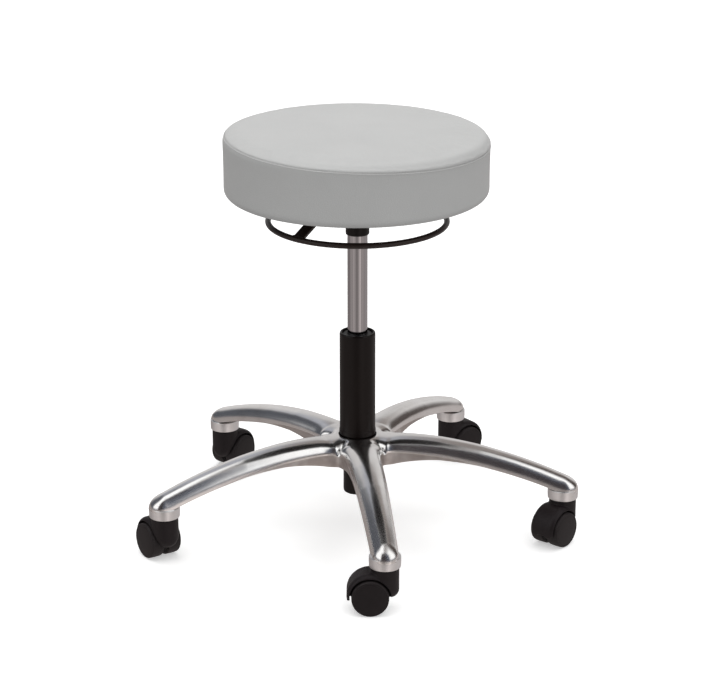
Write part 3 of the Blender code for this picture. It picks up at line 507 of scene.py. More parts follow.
class Finish:
    """A material under way: its node tree, its shader and the fields that drive them."""

    def __init__(self, name, sockets):
        self.material = bpy.data.materials.new(name)
        self.material.use_nodes = True
        self.tree = self.material.node_tree
        self.shader = self.tree.nodes["Principled BSDF"]
        for label, value in sockets.items():
            self.shader.inputs[label].default_value = value

    def drive(self, label, socket):
        self.tree.links.new(socket, self.shader.inputs[label])

    def field(self, kind, output, inputs=None, **settings):
        return Field(self.tree, wire(self.tree, kind, inputs, **settings).outputs[output])

    def place(self):
        return self.field("ShaderNodeTexCoord", "Object")

    def kept(self, name, output="Fac"):
        """A value that is kept on the mesh, by its attribute's name."""
        return self.field("ShaderNodeAttribute", output, attribute_name=name)

    def grain(self, scale, detail=3.0, stretch=(1.0, 1.0, 1.0), where=None):
        """Cloudy noise, stretched along the axes where a stretch is under 1."""
        spread = self.field("ShaderNodeMapping", 0, {"Vector": where or self.place(), "Scale": stretch})
        inputs = {"Vector": spread, "Scale": scale, "Detail": detail, "Roughness": 0.55}
        return self.field("ShaderNodeTexNoise", "Fac", inputs)

    def cells(self, scale, feature="F1"):
        """Distance inside small irregular cells, or to their edges."""
        inputs = {"Vector": self.place(), "Scale": scale}
        return self.field("ShaderNodeTexVoronoi", "Distance", inputs, feature=feature)

    def threads(self, direction):
        inputs = {"Vector": self.place(), "Scale": 330.0, "Distortion": 0.6}
        return self.field("ShaderNodeTexWave", "Fac", inputs, bands_direction=direction)

    def tint(self, field, *stops):
        """Base colour from a field, by (place, colour) stops."""
        ramp = wire(self.tree, "ShaderNodeValToRGB", {"Fac": field})
        points = ramp.color_ramp.elements
        while len(points) < len(stops):
            points.new(0.5)
        for point, (place, colour) in zip(points, stops):
            point.position = place
            point.color = (*colour, 1.0)
        self.drive("Base Color", ramp.outputs["Color"])

    def gloss(self, field, low, high):
        """Roughness that goes from low to high with a field."""
        spread = wire(self.tree, "ShaderNodeMapRange", {"Value": field, "To Min": low, "To Max": high})
        self.drive("Roughness", spread.outputs["Result"])

    def relief(self, field, depth):
        """Small bumps of that depth in metres."""
        bump = wire(self.tree, "ShaderNodeBump", {"Height": field, "Distance": depth, "Strength": 1.0})
        self.drive("Normal", bump.outputs["Normal"])


def polished_casting():
    """Aluminium: buffed along the arms on top, satin as cast on the skirts."""
    made = Finish("polished_casting", {"Metallic": 1.0, "Specular IOR Level": 0.5})
    satin = made.kept("satin")
    buffing = made.grain(260.0, 4.0, (0.05, 1.0, 1.0), where=made.kept("arm_way", "Vector"))
    sand = made.grain(2600.0, 2.0)
    made.tint(
        made.grain(24.0) + satin * 0.5,
        (0.30, (0.90, 0.895, 0.89)),
        (0.70, (0.82, 0.805, 0.79)),
        (1.00, (0.52, 0.475, 0.455)),
    )
    made.gloss(satin + buffing * 0.22, 0.18, 0.46)
    made.relief(buffing * satin.rest() + sand * satin * 1.8, 0.00006)
    return made.material


def satin_collar_finish():
    made = Finish("satin_collar", {"Metallic": 1.0})
    turning = made.grain(900.0, 2.0, (0.15, 0.15, 1.0))
    made.tint(made.grain(55.0), (0.25, (0.91, 0.91, 0.915)), (0.80, (0.81, 0.81, 0.815)))
    made.gloss(turning, 0.30, 0.45)
    made.relief(turning, 0.00005)
    return made.material


def chrome_tube_finish():
    made = Finish("chrome_tube", {"Metallic": 1.0})
    drawn = made.grain(420.0, 3.0, (1.0, 1.0, 0.012))
    made.tint(drawn, (0.25, (0.42, 0.41, 0.425)), (0.80, (0.47, 0.46, 0.475)))
    made.gloss(made.grain(14.0, 4.0), 0.07, 0.17)
    made.relief(drawn, 0.000005)
    return made.material


def hood_plastic_finish():
    made = Finish("hood_plastic", {"Specular IOR Level": 0.30})
    scuff = made.grain(70.0, 5.0)
    made.tint(scuff, (0.25, (0.0078, 0.0049, 0.0058)), (0.80, (0.0130, 0.0090, 0.0102)))
    made.gloss(scuff, 0.42, 0.60)
    made.relief(made.cells(1500.0), 0.00012)
    return made.material


def wheel_finish():
    """Moulded wheel: a smooth face and a dull tread, by the distance from the axle."""
    made = Finish("wheel_nylon", {"Specular IOR Level": 0.30})
    worn = made.kept("tread")
    scuff = made.grain(110.0, 5.0)
    made.tint(
        scuff * 0.6 + worn * 0.4,
        (0.20, (0.0095, 0.0066, 0.0074)),
        (0.60, (0.0155, 0.0116, 0.0124)),
        (0.95, (0.030, 0.026, 0.026)),
    )
    made.gloss(worn * 0.5 + scuff * 0.5, 0.34, 0.68)
    made.relief(made.grain(1900.0, 2.0), 0.00006)
    return made.material


def vinyl_finish():
    """Grey upholstery vinyl with a fine pebble grain, coloured darker along the seam as painted shade in its
    groove.
    """
    sockets = {"Specular IOR Level": 0.42, "Sheen Weight": 0.06, "Sheen Roughness": 0.4, "Coat Weight": 0.04}
    made = Finish("grey_vinyl", sockets)
    pebble = made.cells(780.0)
    creases = made.cells(330.0, "DISTANCE_TO_EDGE").ease(0.0, 0.09)
    cloud = made.grain(9.0, 4.0)
    # The seam attribute is painted shade: it darkens the vinyl towards the seam and most in its groove.
    made.tint(
        cloud * 0.7 + pebble * 0.22 + made.kept("seam") * 0.30,
        (0.20, (0.555, 0.558, 0.552)),
        (0.62, (0.520, 0.523, 0.518)),
        (1.00, (0.40, 0.40, 0.395)),
    )
    made.gloss(cloud * 0.6 + pebble * 0.5, 0.40, 0.58)
    made.relief(pebble * 0.6 + creases * 0.5 + made.grain(2400.0, 2.0) * 0.15, 0.00016)
    return made.material


def thread_finish():
    made = Finish("seam_thread", {"Sheen Weight": 0.3})
    fuzz = made.grain(1800.0, 2.0)
    made.tint(fuzz, (0.2, (0.43, 0.43, 0.42)), (0.8, (0.56, 0.56, 0.545)))
    made.gloss(fuzz, 0.6, 0.8)
    made.relief(made.field("ShaderNodeTexWave", "Fac", {"Scale": 1500.0, "Distortion": 2.0}), 0.0001)
    return made.material


def cambric_finish():
    """Black dust cover cloth: a plain weave on X and Y."""
    made = Finish("cambric", {"Sheen Weight": 0.25, "Sheen Roughness": 0.5, "Specular IOR Level": 0.2})
    weave = made.threads("X").most(made.threads("Y"))
    slub = made.grain(120.0, 4.0, (1.0, 0.2, 1.0))
    made.tint(weave * 0.6 + slub * 0.4, (0.2, (0.010, 0.010, 0.011)), (0.9, (0.030, 0.030, 0.032)))
    made.gloss(slub, 0.75, 0.92)
    made.relief(weave, 0.00022)
    return made.material


def zinc_finish():
    made = Finish("zinc_plate", {"Metallic": 1.0})
    cloud = made.grain(160.0, 4.0)
    spangle = made.cells(420.0) * 0.5 + cloud * 0.5
    made.tint(spangle, (0.2, (0.50, 0.50, 0.49)), (0.8, (0.66, 0.66, 0.655)))
    made.gloss(cloud, 0.24, 0.42)
    made.relief(cloud, 0.00004)
    return made.material


def floor_finish():
    white = (1.0, 1.0, 1.0, 1.0)
    sockets = {"Specular IOR Level": 0.1, "Emission Color": white, "Emission Strength": 0.42}
    made = Finish("studio_floor", sockets)
    cloud = made.grain(1.2)
    made.tint(cloud, (0.3, (0.915, 0.915, 0.912)), (0.7, (0.935, 0.935, 0.932)))
    made.gloss(cloud, 0.85, 0.95)
    return made.material


def plain_finish(name, specular, shade, stops, rough, bumps, depth):
    """A finish whose colour and gloss follow one cloudy noise, and its relief another."""
    made = Finish(name, {"Specular IOR Level": specular})
    cloud = made.grain(*shade)
    made.tint(cloud, *stops)
    made.gloss(cloud, *rough)
    made.relief(made.grain(*bumps), depth)
    return made.material


CASTING = polished_casting()
COLLAR = satin_collar_finish()
CHROME = chrome_tube_finish()
HOOD_PLASTIC = hood_plastic_finish()
WHEEL_NYLON = wheel_finish()
VINYL = vinyl_finish()
THREAD = thread_finish()
CAMBRIC = cambric_finish()
ZINC = zinc_finish()
COAT_SHADES = [(0.25, (0.0052, 0.0026, 0.0020)), (0.85, (0.0088, 0.0050, 0.0041))]
POWDER_COAT = plain_finish(
    "black_powder_coat", 0.22, (30.0, 4.0), COAT_SHADES, (0.30, 0.46), (1400.0, 2.0), 0.00005
)
PAINT_SHADES = [
    (0.25, (0.019, 0.0110, 0.0088)),
    (0.70, (0.030, 0.0185, 0.0150)),
    (0.95, (0.055, 0.038, 0.032)),
]
RING_PAINT = plain_finish("ring_paint", 0.35, (45.0, 4.0), PAINT_SHADES, (0.28, 0.48), (900.0, 2.0), 0.00006)
BUSH_SHADES = [(0.2, (0.020, 0.0195, 0.019)), (0.85, (0.040, 0.039, 0.038))]
BUSH_FLOW = (70.0, 4.0, (1.0, 1.0, 0.2))
BUSH_NYLON = plain_finish("guide_nylon", 0.4, BUSH_FLOW, BUSH_SHADES, (0.36, 0.55), (1500.0, 2.0), 0.00004)
GREY_SHADES = [(0.2, (0.34, 0.34, 0.33)), (0.85, (0.46, 0.46, 0.45))]
GREY_NYLON = plain_finish("grey_nylon", 0.4, (90.0, 4.0), GREY_SHADES, (0.40, 0.58), (1700.0, 2.0), 0.00004)
RUBBER_SHADES = [(0.2, (0.014, 0.014, 0.014)), (0.85, (0.036, 0.035, 0.034))]
RUBBER = plain_finish("bumper_rubber", 0.3, (150.0, 5.0), RUBBER_SHADES, (0.66, 0.86), (1300.0, 3.0), 0.0001)
WOOD_SHADES = [(0.2, (0.38, 0.24, 0.125)), (0.55, (0.50, 0.34, 0.19)), (0.9, (0.60, 0.44, 0.27))]
WOOD_FIGURE = (60.0, 6.0, (0.12, 1.0, 3.0))
PLYWOOD = plain_finish("seat_plywood", 0.3, WOOD_FIGURE, WOOD_SHADES, (0.55, 0.75), WOOD_FIGURE, 0.00015)


# Base casting


def arm_arch(along):
    """How far an arm stands above its plain arc, most of it near the hub."""
    share = held_in((along - ARCH_START) / (STEM_CIRCLE - ARCH_START))
    return ARM_ARCH * math.sin(math.pi * share**0.6)


def arm_crest(along):
    """Level of the top of an arm: flat by the hub, then an arc that falls to the nose."""
    past = min(max(along - ARM_LEVEL, 0.0), ARM_RUN)
    return HUB_TOP - ARM_ARC + math.sqrt(ARM_ARC * ARM_ARC - past * past) + CAGE_LIFT + arm_arch(along)


def arm_share(along):
    return held_in((along - HUB_CORNER) / (STEM_CIRCLE - HUB_CORNER))


def arm_half_width(along):
    """Half the width of an arm, which flares into the hub and narrows evenly to the nose."""
    flare = ROOT_FLARE * math.exp((ARM_ROOT - along) / ROOT_FLARE)
    return ARM_ROOT_HALF_WIDTH + (ARM_TIP_HALF_WIDTH - ARM_ROOT_HALF_WIDTH) * arm_share(along) + flare


def skirt_share(along):
    """1 at the hub and 0 where the deep root of an arm has faded out."""
    return (1.0 - held_in((along - HUB_CORNER) / (SKIRT_END - HUB_CORNER))) ** 2.4


def side_satin(along):
    """1 on the deep skirt by the hub, which is left as cast, and 0 where the polish takes the whole side."""
    share = held_in((SATIN_END - along) / SATIN_FADE)
    return share * share * (3.0 - 2.0 * share)


def tip_swell(along):
    """What an arm's depth gains towards the nose, and from its arch."""
    return ARM_TIP_SWELL * arm_share(along) ** 2 + arm_arch(along)


def cap_depth(along):
    """Depth of the polished top of an arm: the whole arm past the skirt, deepest at the nose."""
    past_skirt = ARM_DEPTH - CAP_DEPTH - 0.0014
    return CAP_DEPTH + tip_swell(along) + past_skirt * (1.0 - side_satin(along))


def arm_bottom(along):
    skirt = (HUB_TOP - HUB_BOTTOM - ARM_DEPTH) * skirt_share(along)
    return arm_crest(along) - (ARM_DEPTH + tip_swell(along)) - skirt


def cap_fullness(along):
    """How square the top of an arm is: a flat plate at the hub, nearly round at the nose."""
    return CAP_FULLNESS + (HUB_FULLNESS - CAP_FULLNESS) * math.exp((ARM_ROOT - along) / FULLNESS_FADE)


def cap_reach(turn, fullness):
    """How far across the cap a point lies, from -1 to 1."""
    return math.copysign(abs(math.sin(turn)) ** (2.0 / fullness), turn)


def cap_fall(turn, fullness):
    """How far down the cap that point lies, from 0 to 1."""
    return 1.0 - max(math.cos(turn), 0.0) ** (2.0 / fullness)


def under_row(along, half_width, bottom, hollow):
    """Underside of an arm from its right edge to its left: flat, or a wall, a hollow and a wall."""
    edge = half_width - 0.0010
    if not hollow:
        return [(edge * (1.0 - 2.0 * step / CAP_STEPS), bottom) for step in range(CAP_STEPS + 1)]
    inner = half_width - ARM_WALL
    roof = max(arm_crest(along) - ARM_WALL - hollow, bottom + 0.0015)
    side = [(edge, bottom), (inner + 0.0008, bottom), (inner, bottom + 0.0012)]
    side += [(inner - 0.0006, (bottom + roof) / 2.0), (inner * 0.72, roof - 0.0018)]
    return side + [(0.0, roof)] + [(-across, level) for across, level in side[::-1]]


def arm_row(along, hollow):
    """One closed section of an arm as ((x, y, z), satin) points: cap, right side, underside, left side."""
    crest = arm_crest(along)
    half_width = arm_half_width(along)
    bottom = arm_bottom(along)
    share = skirt_share(along)
    fullness = cap_fullness(along)
    row = []
    for turn in CAP_TURNS:
        level = crest - cap_depth(along) * cap_fall(turn, fullness)
        row.append(((along, half_width * cap_reach(turn, fullness), level), 0.0))
    crease = crest - cap_depth(along)
    height = crease - bottom
    step = half_width - 0.0007 * min(1.0, share * 3.0)
    flare = half_width + 0.0006 * share
    side = [(step, crease - min(CREASE_TOP, height * 0.2)), (step, crease - min(CREASE_END, height * 0.5))]
    side.append((flare, bottom + min(SIDE_FOOT, height * 0.25)))
    satin = side_satin(along)
    row += [((along, across, level), satin) for across, level in side]
    row += [((along, across, level), 1.0) for across, level in under_row(along, flare, bottom, hollow)]
    row += [((along, -across, level), satin) for across, level in side[::-1]]
    return row


def hub_corner_row():
    """The first section of an arm, whose sides stand on the lines where it meets its neighbours."""
    corner_y = HUB_CORNER * math.sin(HALF_PITCH)
    row = []
    for turn in CAP_TURNS:
        reach = cap_reach(turn, PLATE_FULLNESS)
        x = PLATE_END - (PLATE_END - ARM_ROOT) * reach * reach
        level = HUB_TOP + CAGE_LIFT - PLATE_CAP_DEPTH * cap_fall(turn, PLATE_FULLNESS)
        row.append(((x, corner_y * reach, level), 0.0))
    crease = HUB_TOP - PLATE_CAP_DEPTH
    side = [crease - CREASE_TOP, crease - CREASE_END, HUB_BOTTOM + SIDE_FOOT]
    row += [((ARM_ROOT, corner_y, level), 1.0) for level in side]
    for step in range(CAP_STEPS + 1):
        share = 1.0 - 2.0 * step / CAP_STEPS
        x = PLATE_UNDER_END - (PLATE_UNDER_END - ARM_ROOT * PLATE_FOOT_SHARE) * share * share
        row.append(((x, corner_y * PLATE_FOOT_SHARE * share, HUB_BOTTOM), 1.0))
    row += [((ARM_ROOT, -corner_y, level), 1.0) for level in side[::-1]]
    return row


def hub_ring(radius, level, satin):
    turns = [ARM_PITCH * step / CAP_STEPS - HALF_PITCH for step in range(CAP_STEPS + 1)]
    return [(on_circle(radius, turn, level), satin) for turn in turns]


def plate_lip():
    """The plate's top just off the column, which dips a little towards the corners between the arms."""
    lip = []
    for (x, y, level), satin in hub_ring(0.0325, HUB_TOP, 0.0):
        away = abs(math.atan2(y, x)) / HALF_PITCH
        lip.append(((x, y, level - 0.0002 - 0.0006 * away**3), satin))
    return lip


def arm_stations():
    """(distance from the column, hollow) of each section of an arm."""
    stations = [(along, SOLID) for along in (0.0485, 0.0540, 0.0600)]
    stations += [(along, OPEN) for along in (0.0632, 0.0660, 0.0800, 0.1000)]
    for rib in RIBS:
        stations += [(rib - 0.0030, OPEN), (rib - 0.0012, RIB), (rib + 0.0012, RIB), (rib + 0.0030, OPEN)]
        stations.append((rib + 0.0300, OPEN))
    stations += [(along, OPEN) for along in (0.2300, 0.2500, 0.2615)]
    return stations + [(along, SOLID) for along in (0.2650, 0.2780, STEM_CIRCLE)]


def arm_sector():
    """A fifth of the casting along +X, as the cage that a subdivision rounds off."""
    body = bmesh.new()
    satin_of = body.verts.layers.float.new("satin")
    way_of = body.verts.layers.float_vector.new("arm_way")

    def corners(row):
        made = []
        for place, satin in row:
            made.append(body.verts.new(place))
            made[-1][satin_of] = satin
            made[-1][way_of] = place
        return made

    rows = [corners(hub_corner_row())]
    rows += [corners(arm_row(along, hollow)) for along, hollow in arm_stations()]
    for first, second in zip(rows, rows[1:]):
        skin(body, first + first[:1], second + second[:1])
    top_rings = [hub_ring(HUB_BORE, HUB_TOP - 0.0060, 0.3), hub_ring(HUB_BORE, HUB_TOP - 0.0008, 0.2)]
    top_rings += [hub_ring(0.0272, HUB_TOP, 0.0), hub_ring(0.0300, HUB_TOP, 0.0), plate_lip()]
    under_rings = [hub_ring(0.0206, HUB_BOTTOM + 0.0010, 1.0), hub_ring(0.0216, HUB_BOTTOM, 1.0)]
    under_rings.append(hub_ring(0.0330, HUB_BOTTOM, 1.0))
    tops = [corners(ring) for ring in top_rings]
    unders = [corners(ring) for ring in under_rings]
    for first, second in zip(tops, tops[1:] + [rows[0][: CAP_STEPS + 1]]):
        skin(body, first, second)
    corner_under = rows[0][UNDER_START : UNDER_START + CAP_STEPS + 1][::-1]
    for first, second in zip([tops[0]] + unders, unders + [corner_under]):
        skin(body, first, second)
    close_nose(body, corners, rows[-1])
    bmesh.ops.recalc_face_normals(body, faces=body.faces)
    return plain_mesh(body, "arm_sector")


def close_nose(body, corners, end_row):
    """The rounded end of an arm: the right half of its last section swung round the stem to the left half."""
    middle = CAP_STEPS // 2
    top_pole = end_row[middle]
    under_pole = end_row[UNDER_START + middle]
    right = end_row[middle + 1 : UNDER_START + middle]
    left = [end_row[(middle - 1 - step) % len(end_row)] for step in range(len(right))]
    slope = ARM_RUN / math.sqrt(ARM_ARC * ARM_ARC - ARM_RUN * ARM_RUN)
    satin_of = body.verts.layers.float["satin"]
    swings = [right]
    for swing in range(1, NOSE_STEPS):
        angle = math.pi * swing / NOSE_STEPS
        front = math.sin(angle) ** NOSE_FULLNESS
        aside = math.copysign(abs(math.cos(angle)) ** NOSE_FULLNESS, math.cos(angle))
        row = []
        for index, source in enumerate(right):
            share = source.co.y / ARM_TIP_HALF_WIDTH
            ahead = NOSE_REACH * share * front
            level = source.co.z - NOSE_DIP * math.sin(angle) ** 2 * max(share, 0.0) ** 3
            if index < middle:
                level -= slope * ahead * (1.0 - share**2)
            row.append(((STEM_CIRCLE + ahead, source.co.y * aside, level), source[satin_of]))
        swings.append(corners(row))
    swings.append(left)
    for first, second in zip(swings, swings[1:]):
        body.faces.new((top_pole, first[0], second[0]))
        skin(body, first, second)
        body.faces.new((under_pole, first[-1], second[-1]))


def copies_rule(name, sizes):
    """Copies of one shape set round the column, each turned outwards, and merged if a distance is given."""
    tree, given = shape_rule(name, sizes)
    shape = wire(tree, "GeometryNodeObjectInfo", {"Object": given["Shape"]})
    points = wire(tree, "GeometryNodePoints", {"Count": given["Count"]})
    index = Field(tree, tree.nodes.new("GeometryNodeInputIndex").outputs[0])
    turn = index * given["Pitch"] + given["First turn"]
    x, y = (turn.math(part) * given["Radius"] for part in ("COSINE", "SINE"))
    spot = wire(tree, "ShaderNodeCombineXYZ", {"X": x, "Y": y, "Z": given["Level"]})
    placed = wire(tree, "GeometryNodeSetPosition", {"Geometry": points, "Position": spot})
    inputs = {"Min": -given["Skew"], "Max": given["Skew"], "Seed": given["Seed"]}
    skew = wire(tree, "FunctionNodeRandomValue", inputs, data_type="FLOAT")
    skew_value = next(out for out in skew.outputs if out.enabled)
    angles = wire(tree, "ShaderNodeCombineXYZ", {"Z": turn + Field(tree, skew_value)})
    rotation = wire(tree, "FunctionNodeEulerToRotation", {0: angles})
    inputs = {"Points": placed, "Instance": shape.outputs["Geometry"], "Rotation": rotation}
    copies = wire(tree, "GeometryNodeInstanceOnPoints", inputs)
    if "Merge distance" in sizes:
        real = wire(tree, "GeometryNodeRealizeInstances", {"Geometry": copies})
        inputs = {"Geometry": real, "Distance": given["Merge distance"]}
        copies = wire(tree, "GeometryNodeMergeByDistance", inputs)
    close_rule(tree, copies, given["Finish"])
    return tree


def ring_of_copies(name, shape, finish, count, first, radius, level, skew=0.0, merge=None):
    source = scratch_object(shape)
    sizes = {
        "Shape": source,
        "Count": count,
        "Pitch": 2.0 * math.pi / count,
        "First turn": first,
        "Radius": radius,
        "Level": level,
        "Skew": skew,
        "Seed": 7,
        "Finish": finish,
    }
    if merge:
        sizes["Merge distance"] = merge
    mesh = grow(copies_rule(name, sizes), sizes)
    bpy.data.objects.remove(source)
    return mesh


def make_base_casting():
    arms = len(CASTERS)
    cage = ring_of_copies("arm_star", arm_sector(), CASTING, arms, FIRST_ARM, 0.0, 0.0, merge=0.0001)
    mesh = smooth(subdivided(cage, 2), None)
    piece("base_star", mesh, CASTING, "base", ["base_casting"])


def make_collars():
    """Satin bosses that hold the caster stems, under the noses of the arms."""
    height = BOSS_TOP - BOSS_BOTTOM
    outline = rounded(
        [
            (STEM_BORE, 0.0),
            (BOSS_RADIUS - 0.0003, 0.0, 0.0009),
            (BOSS_RADIUS, height * 0.5),
            (BOSS_RADIUS - 0.0001, height, 0.0008),
            (0.0150, height),
            (0.0120, height + 0.0040),
            (STEM_BORE, height + 0.0040),
        ]
    )
    boss = turned(outline, "boss_outline", 72)
    mesh = ring_of_copies("caster_collars", boss, COLLAR, len(CASTERS), FIRST_ARM, STEM_CIRCLE, BOSS_BOTTOM)
    piece("caster_collars", smooth(mesh), COLLAR, "base")


# Gas lift


def make_gas_lift():
    foot = HUB_TOP + 0.0003
    foot_radius = COLUMN_RADIUS + 0.0007
    plug = TAIL_BOTTOM + 0.0050
    sleeve = [
        (COLUMN_BORE, COLUMN_TOP - 0.0080),
        (COLUMN_BORE, COLUMN_TOP, 0.0016),
        (COLUMN_RADIUS, COLUMN_TOP, 0.0036),
        (COLUMN_RADIUS, foot + 0.0085, 0.0012),
        (foot_radius, foot + 0.0070, 0.0012),
        (foot_radius, foot, 0.0028),
        (0.0238, foot),
        (TAIL_RADIUS, HUB_BOTTOM + 0.0010),
        (TAIL_RADIUS, TAIL_BOTTOM, 0.0045),
        (TAIL_RADIUS - 0.0040, TAIL_BOTTOM, 0.0010),
        (TAIL_RADIUS - 0.0040, plug),
        (0.0053, plug),
        (0.0053, plug + 0.0040),
        (TAIL_RADIUS - 0.0025, plug + 0.0040),
        (TAIL_RADIUS - 0.0025, HUB_BOTTOM),
        (COLUMN_BORE, HUB_TOP + 0.0100),
    ]
    turned_piece("column_sleeve", sleeve, POWDER_COAT, "base", "outer_column")

    low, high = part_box("guide_bush")
    bush = [
        (TUBE_RADIUS + 0.0003, low.z),
        (TUBE_RADIUS + 0.0003, high.z, 0.0012),
        (0.0190, high.z, 0.0010),
        (0.0211, high.z - 0.0012),
        (0.0211, low.z),
    ]
    turned_piece("column_bush", bush, BUSH_NYLON, "base", "guide_bush")

    low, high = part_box("pressure_tube")
    tube = [
        (TUBE_BORE, low.z),
        (TUBE_RADIUS, low.z, 0.0012),
        (TUBE_RADIUS, SOCKET_BOTTOM),
        (TUBE_RADIUS - 0.0005, high.z, 0.0008),
        (TUBE_BORE, high.z),
    ]
    turned_piece("chrome_lift_tube", tube, CHROME, "seat", "pressure_tube")

    socket = [
        (TUBE_RADIUS + 0.0003, SOCKET_BOTTOM, 0.0006),
        (SOCKET_RADIUS, SOCKET_BOTTOM, 0.0024),
        (SOCKET_RADIUS, SOCKET_TOP, 0.0008),
        (TUBE_RADIUS, SOCKET_TOP),
    ]
    turned_piece("seat_socket_cup", socket, POWDER_COAT, "seat", "seat_socket")


# Seat plate and release


def release_ring_rule(sizes):
    """A round rod bent into a ring about the column."""
    tree, given = shape_rule("release_ring_rod", sizes)

    def circle(steps, radius):
        inputs = {"Resolution": given[steps], "Radius": given[radius]}
        return wire(tree, "GeometryNodeCurvePrimitiveCircle", inputs)

    ring = circle("Steps", "Radius")
    rod = circle("Sides", "Rod")
    swept = wire(tree, "GeometryNodeCurveToMesh", {"Curve": ring, "Profile Curve": rod})
    lift = wire(tree, "ShaderNodeCombineXYZ", {"Z": given["Level"]})
    raised = wire(tree, "GeometryNodeTransform", {"Geometry": swept, "Translation": lift})
    close_rule(tree, raised, given["Finish"])
    return tree


def weld_bead(centre, across, around):
    """A short welded seam: a row of flat overlapping ripples."""
    outline = [(0.0, -0.0011), (0.0021, -0.0009, 0.0006), (0.0021, 0.0005, 0.0006), (0.0, 0.0011)]
    ripple = turned(rounded(outline, False, 3), "weld_ripple", 12)
    turn = around.to_track_quat("Z", "Y").to_matrix().to_4x4()
    beads = []
    for step in range(WELD_RIPPLES):
        share = step / (WELD_RIPPLES - 1.0) - 0.5
        sway = 0.00015 * math.sin(step * 2.4)
        place = Matrix.Translation(centre + across * share * WELD_LENGTH + around * sway)
        beads.append(moved(ripple, place @ turn))
    return beads


def make_release():
    sizes = {
        "Steps": 180,
        "Sides": 18,
        "Radius": RING_RADIUS,
        "Rod": RING_ROD,
        "Level": RING_LEVEL,
        "Finish": RING_PAINT,
    }
    ring = grow(release_ring_rule(sizes), sizes)
    piece("release_ring_rod", ring, RING_PAINT, "release", ["release_ring"])

    strap = softened("release_lever", 0.0007)
    piece("release_strap", strap, RING_PAINT, "release", ["release_lever"])

    across = Vector((-LEVER_WAY.y, LEVER_WAY.x, 0.0))
    beads = []
    for way in (LEVER_WAY, -LEVER_WAY):
        above = way * (RING_RADIUS - RING_ROD * 0.72) + UP * (RING_LEVEL + RING_ROD * 0.86)
        below = way * (RING_RADIUS - RING_ROD * 0.95) + UP * (RING_LEVEL - RING_ROD * 0.40)
        beads += weld_bead(above, across, (UP - way * 0.6).normalized())
        beads += weld_bead(below, across, (-UP - way * 0.9).normalized())
    mesh = smooth(joined(beads, "ring_welds"), 60.0)
    piece("ring_welds", mesh, RING_PAINT, "release")


def bolt_head():
    """A hexagon head with a chamfered crown, and a pressed washer."""
    rows = []
    for radius, level in ((0.0055, 0.0), (0.0055, -0.0033), (0.0047, -0.0040)):
        rows.append([on_circle(radius, angle, level) for angle in angles_round(6)])
    washer = rounded([(0.0, 0.0), (0.0072, 0.0), (0.0072, -0.0009, 0.0004), (0.0, -0.0009)], False, 3)
    return joined([closed_bar(rows, "bolt_hexagon"), turned(washer, "bolt_washer", 32)], "bolt_head")


def staple():
    """One staple's crown, its ends bent into the cloth."""
    half = 0.0052
    bend = half - 0.0004
    thick = 0.00035
    wide = thick * 1.6
    path = [(-half, 0.0011), (-half, 0.0004), (-bend, 0.0), (bend, 0.0), (half, 0.0004), (half, 0.0011)]
    rows = []
    for along, level in path:
        low, high = level - thick, level + thick
        rows.append([(-wide, along, low), (wide, along, low), (wide, along, high), (-wide, along, high)])
    return closed_bar(rows, "staple")


def make_seat_plate():
    plate = softened("seat_plate", 0.0006)
    piece("seat_plate_pressing", plate, POWDER_COAT, "seat", ["seat_plate"])
    bracket = softened("lever_bracket", 0.0008)
    piece("lever_channel", bracket, POWDER_COAT, "seat", ["lever_bracket"])

    bolt_low, bolt_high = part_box("seat_bolt_1")
    centre = (bolt_low + bolt_high) / 2.0
    plate_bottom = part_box("seat_plate")[0].z
    first = math.atan2(centre.y, centre.x)
    circle = centre.xy.length
    bolts = ring_of_copies("seat_bolt_heads", bolt_head(), ZINC, len(BOLTS), first, circle, plate_bottom)
    nodes = [f"seat_bolt_{number}" for number in BOLTS]
    piece("seat_bolt_heads", smooth(bolts), ZINC, "seat", nodes)

    low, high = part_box("dust_cover")
    outline = [
        (0.0, low.z + 0.0001),
        (high.x - 0.0140, low.z + 0.0001),
        (high.x - 0.0128, low.z - 0.0002, 0.0004),
        (high.x, low.z - 0.0002, 0.0004),
        (high.x, high.z, 0.0003),
        (0.0, high.z),
    ]
    cover = smooth(turned(rounded(outline, closed=False), "dust_cover_cloth", 128))
    piece("dust_cover_cloth", cover, CAMBRIC, "seat", ["dust_cover"])
    circle = high.x - 0.0065
    level = low.z - 0.0005
    staples = ring_of_copies("cover_staples", staple(), ZINC, STAPLES, 0.03, circle, level, skew=0.16)
    piece("cover_staples", smooth(staples), ZINC, "seat")


# Seat cushion


def seam_level(angle):
    """Level of the sewn seam, which wanders down from the left of the seat to its right."""
    wander = SEAM_WANDER * noise_round(angle, 3.0, 4.7)
    return CROWN_TOP - SEAM_DROP - SEAM_SLOPE * math.cos(angle) + wander


def crown_edge_level(angle):
    """Level of the top where its rounded edge starts: a little lower to the right and the front."""
    dip = EDGE_DIP_RIGHT * (1.0 + math.cos(angle))
    return CROWN_TOP - EDGE_DROP - dip + EDGE_RISE_BACK * (1.0 + math.sin(angle))


def cover_radius(angle):
    """Radius of the cover, which was pulled on a little to the left of its board."""
    return SEAT_RADIUS - COVER_SHIFT * math.cos(angle)


def cover_spot(angle, way, depth=0.0):
    """(radius, level) that way past the start of the rounded edge and that deep in the cover."""
    bend = min(way / EDGE_ROUND, math.pi / 2.0)
    below = max(way - EDGE_TURN, 0.0)
    radius = cover_radius(angle) - EDGE_ROUND + (EDGE_ROUND - depth) * math.sin(bend)
    level = crown_edge_level(angle) - EDGE_ROUND - below + (EDGE_ROUND - depth) * math.cos(bend)
    return radius, level


def seam_way(angle):
    """How far past the start of the rounded edge the seam runs."""
    drop = crown_edge_level(angle) - seam_level(angle)
    if drop < EDGE_ROUND:
        return EDGE_ROUND * math.acos(1.0 - drop / EDGE_ROUND)
    return EDGE_TURN + drop - EDGE_ROUND


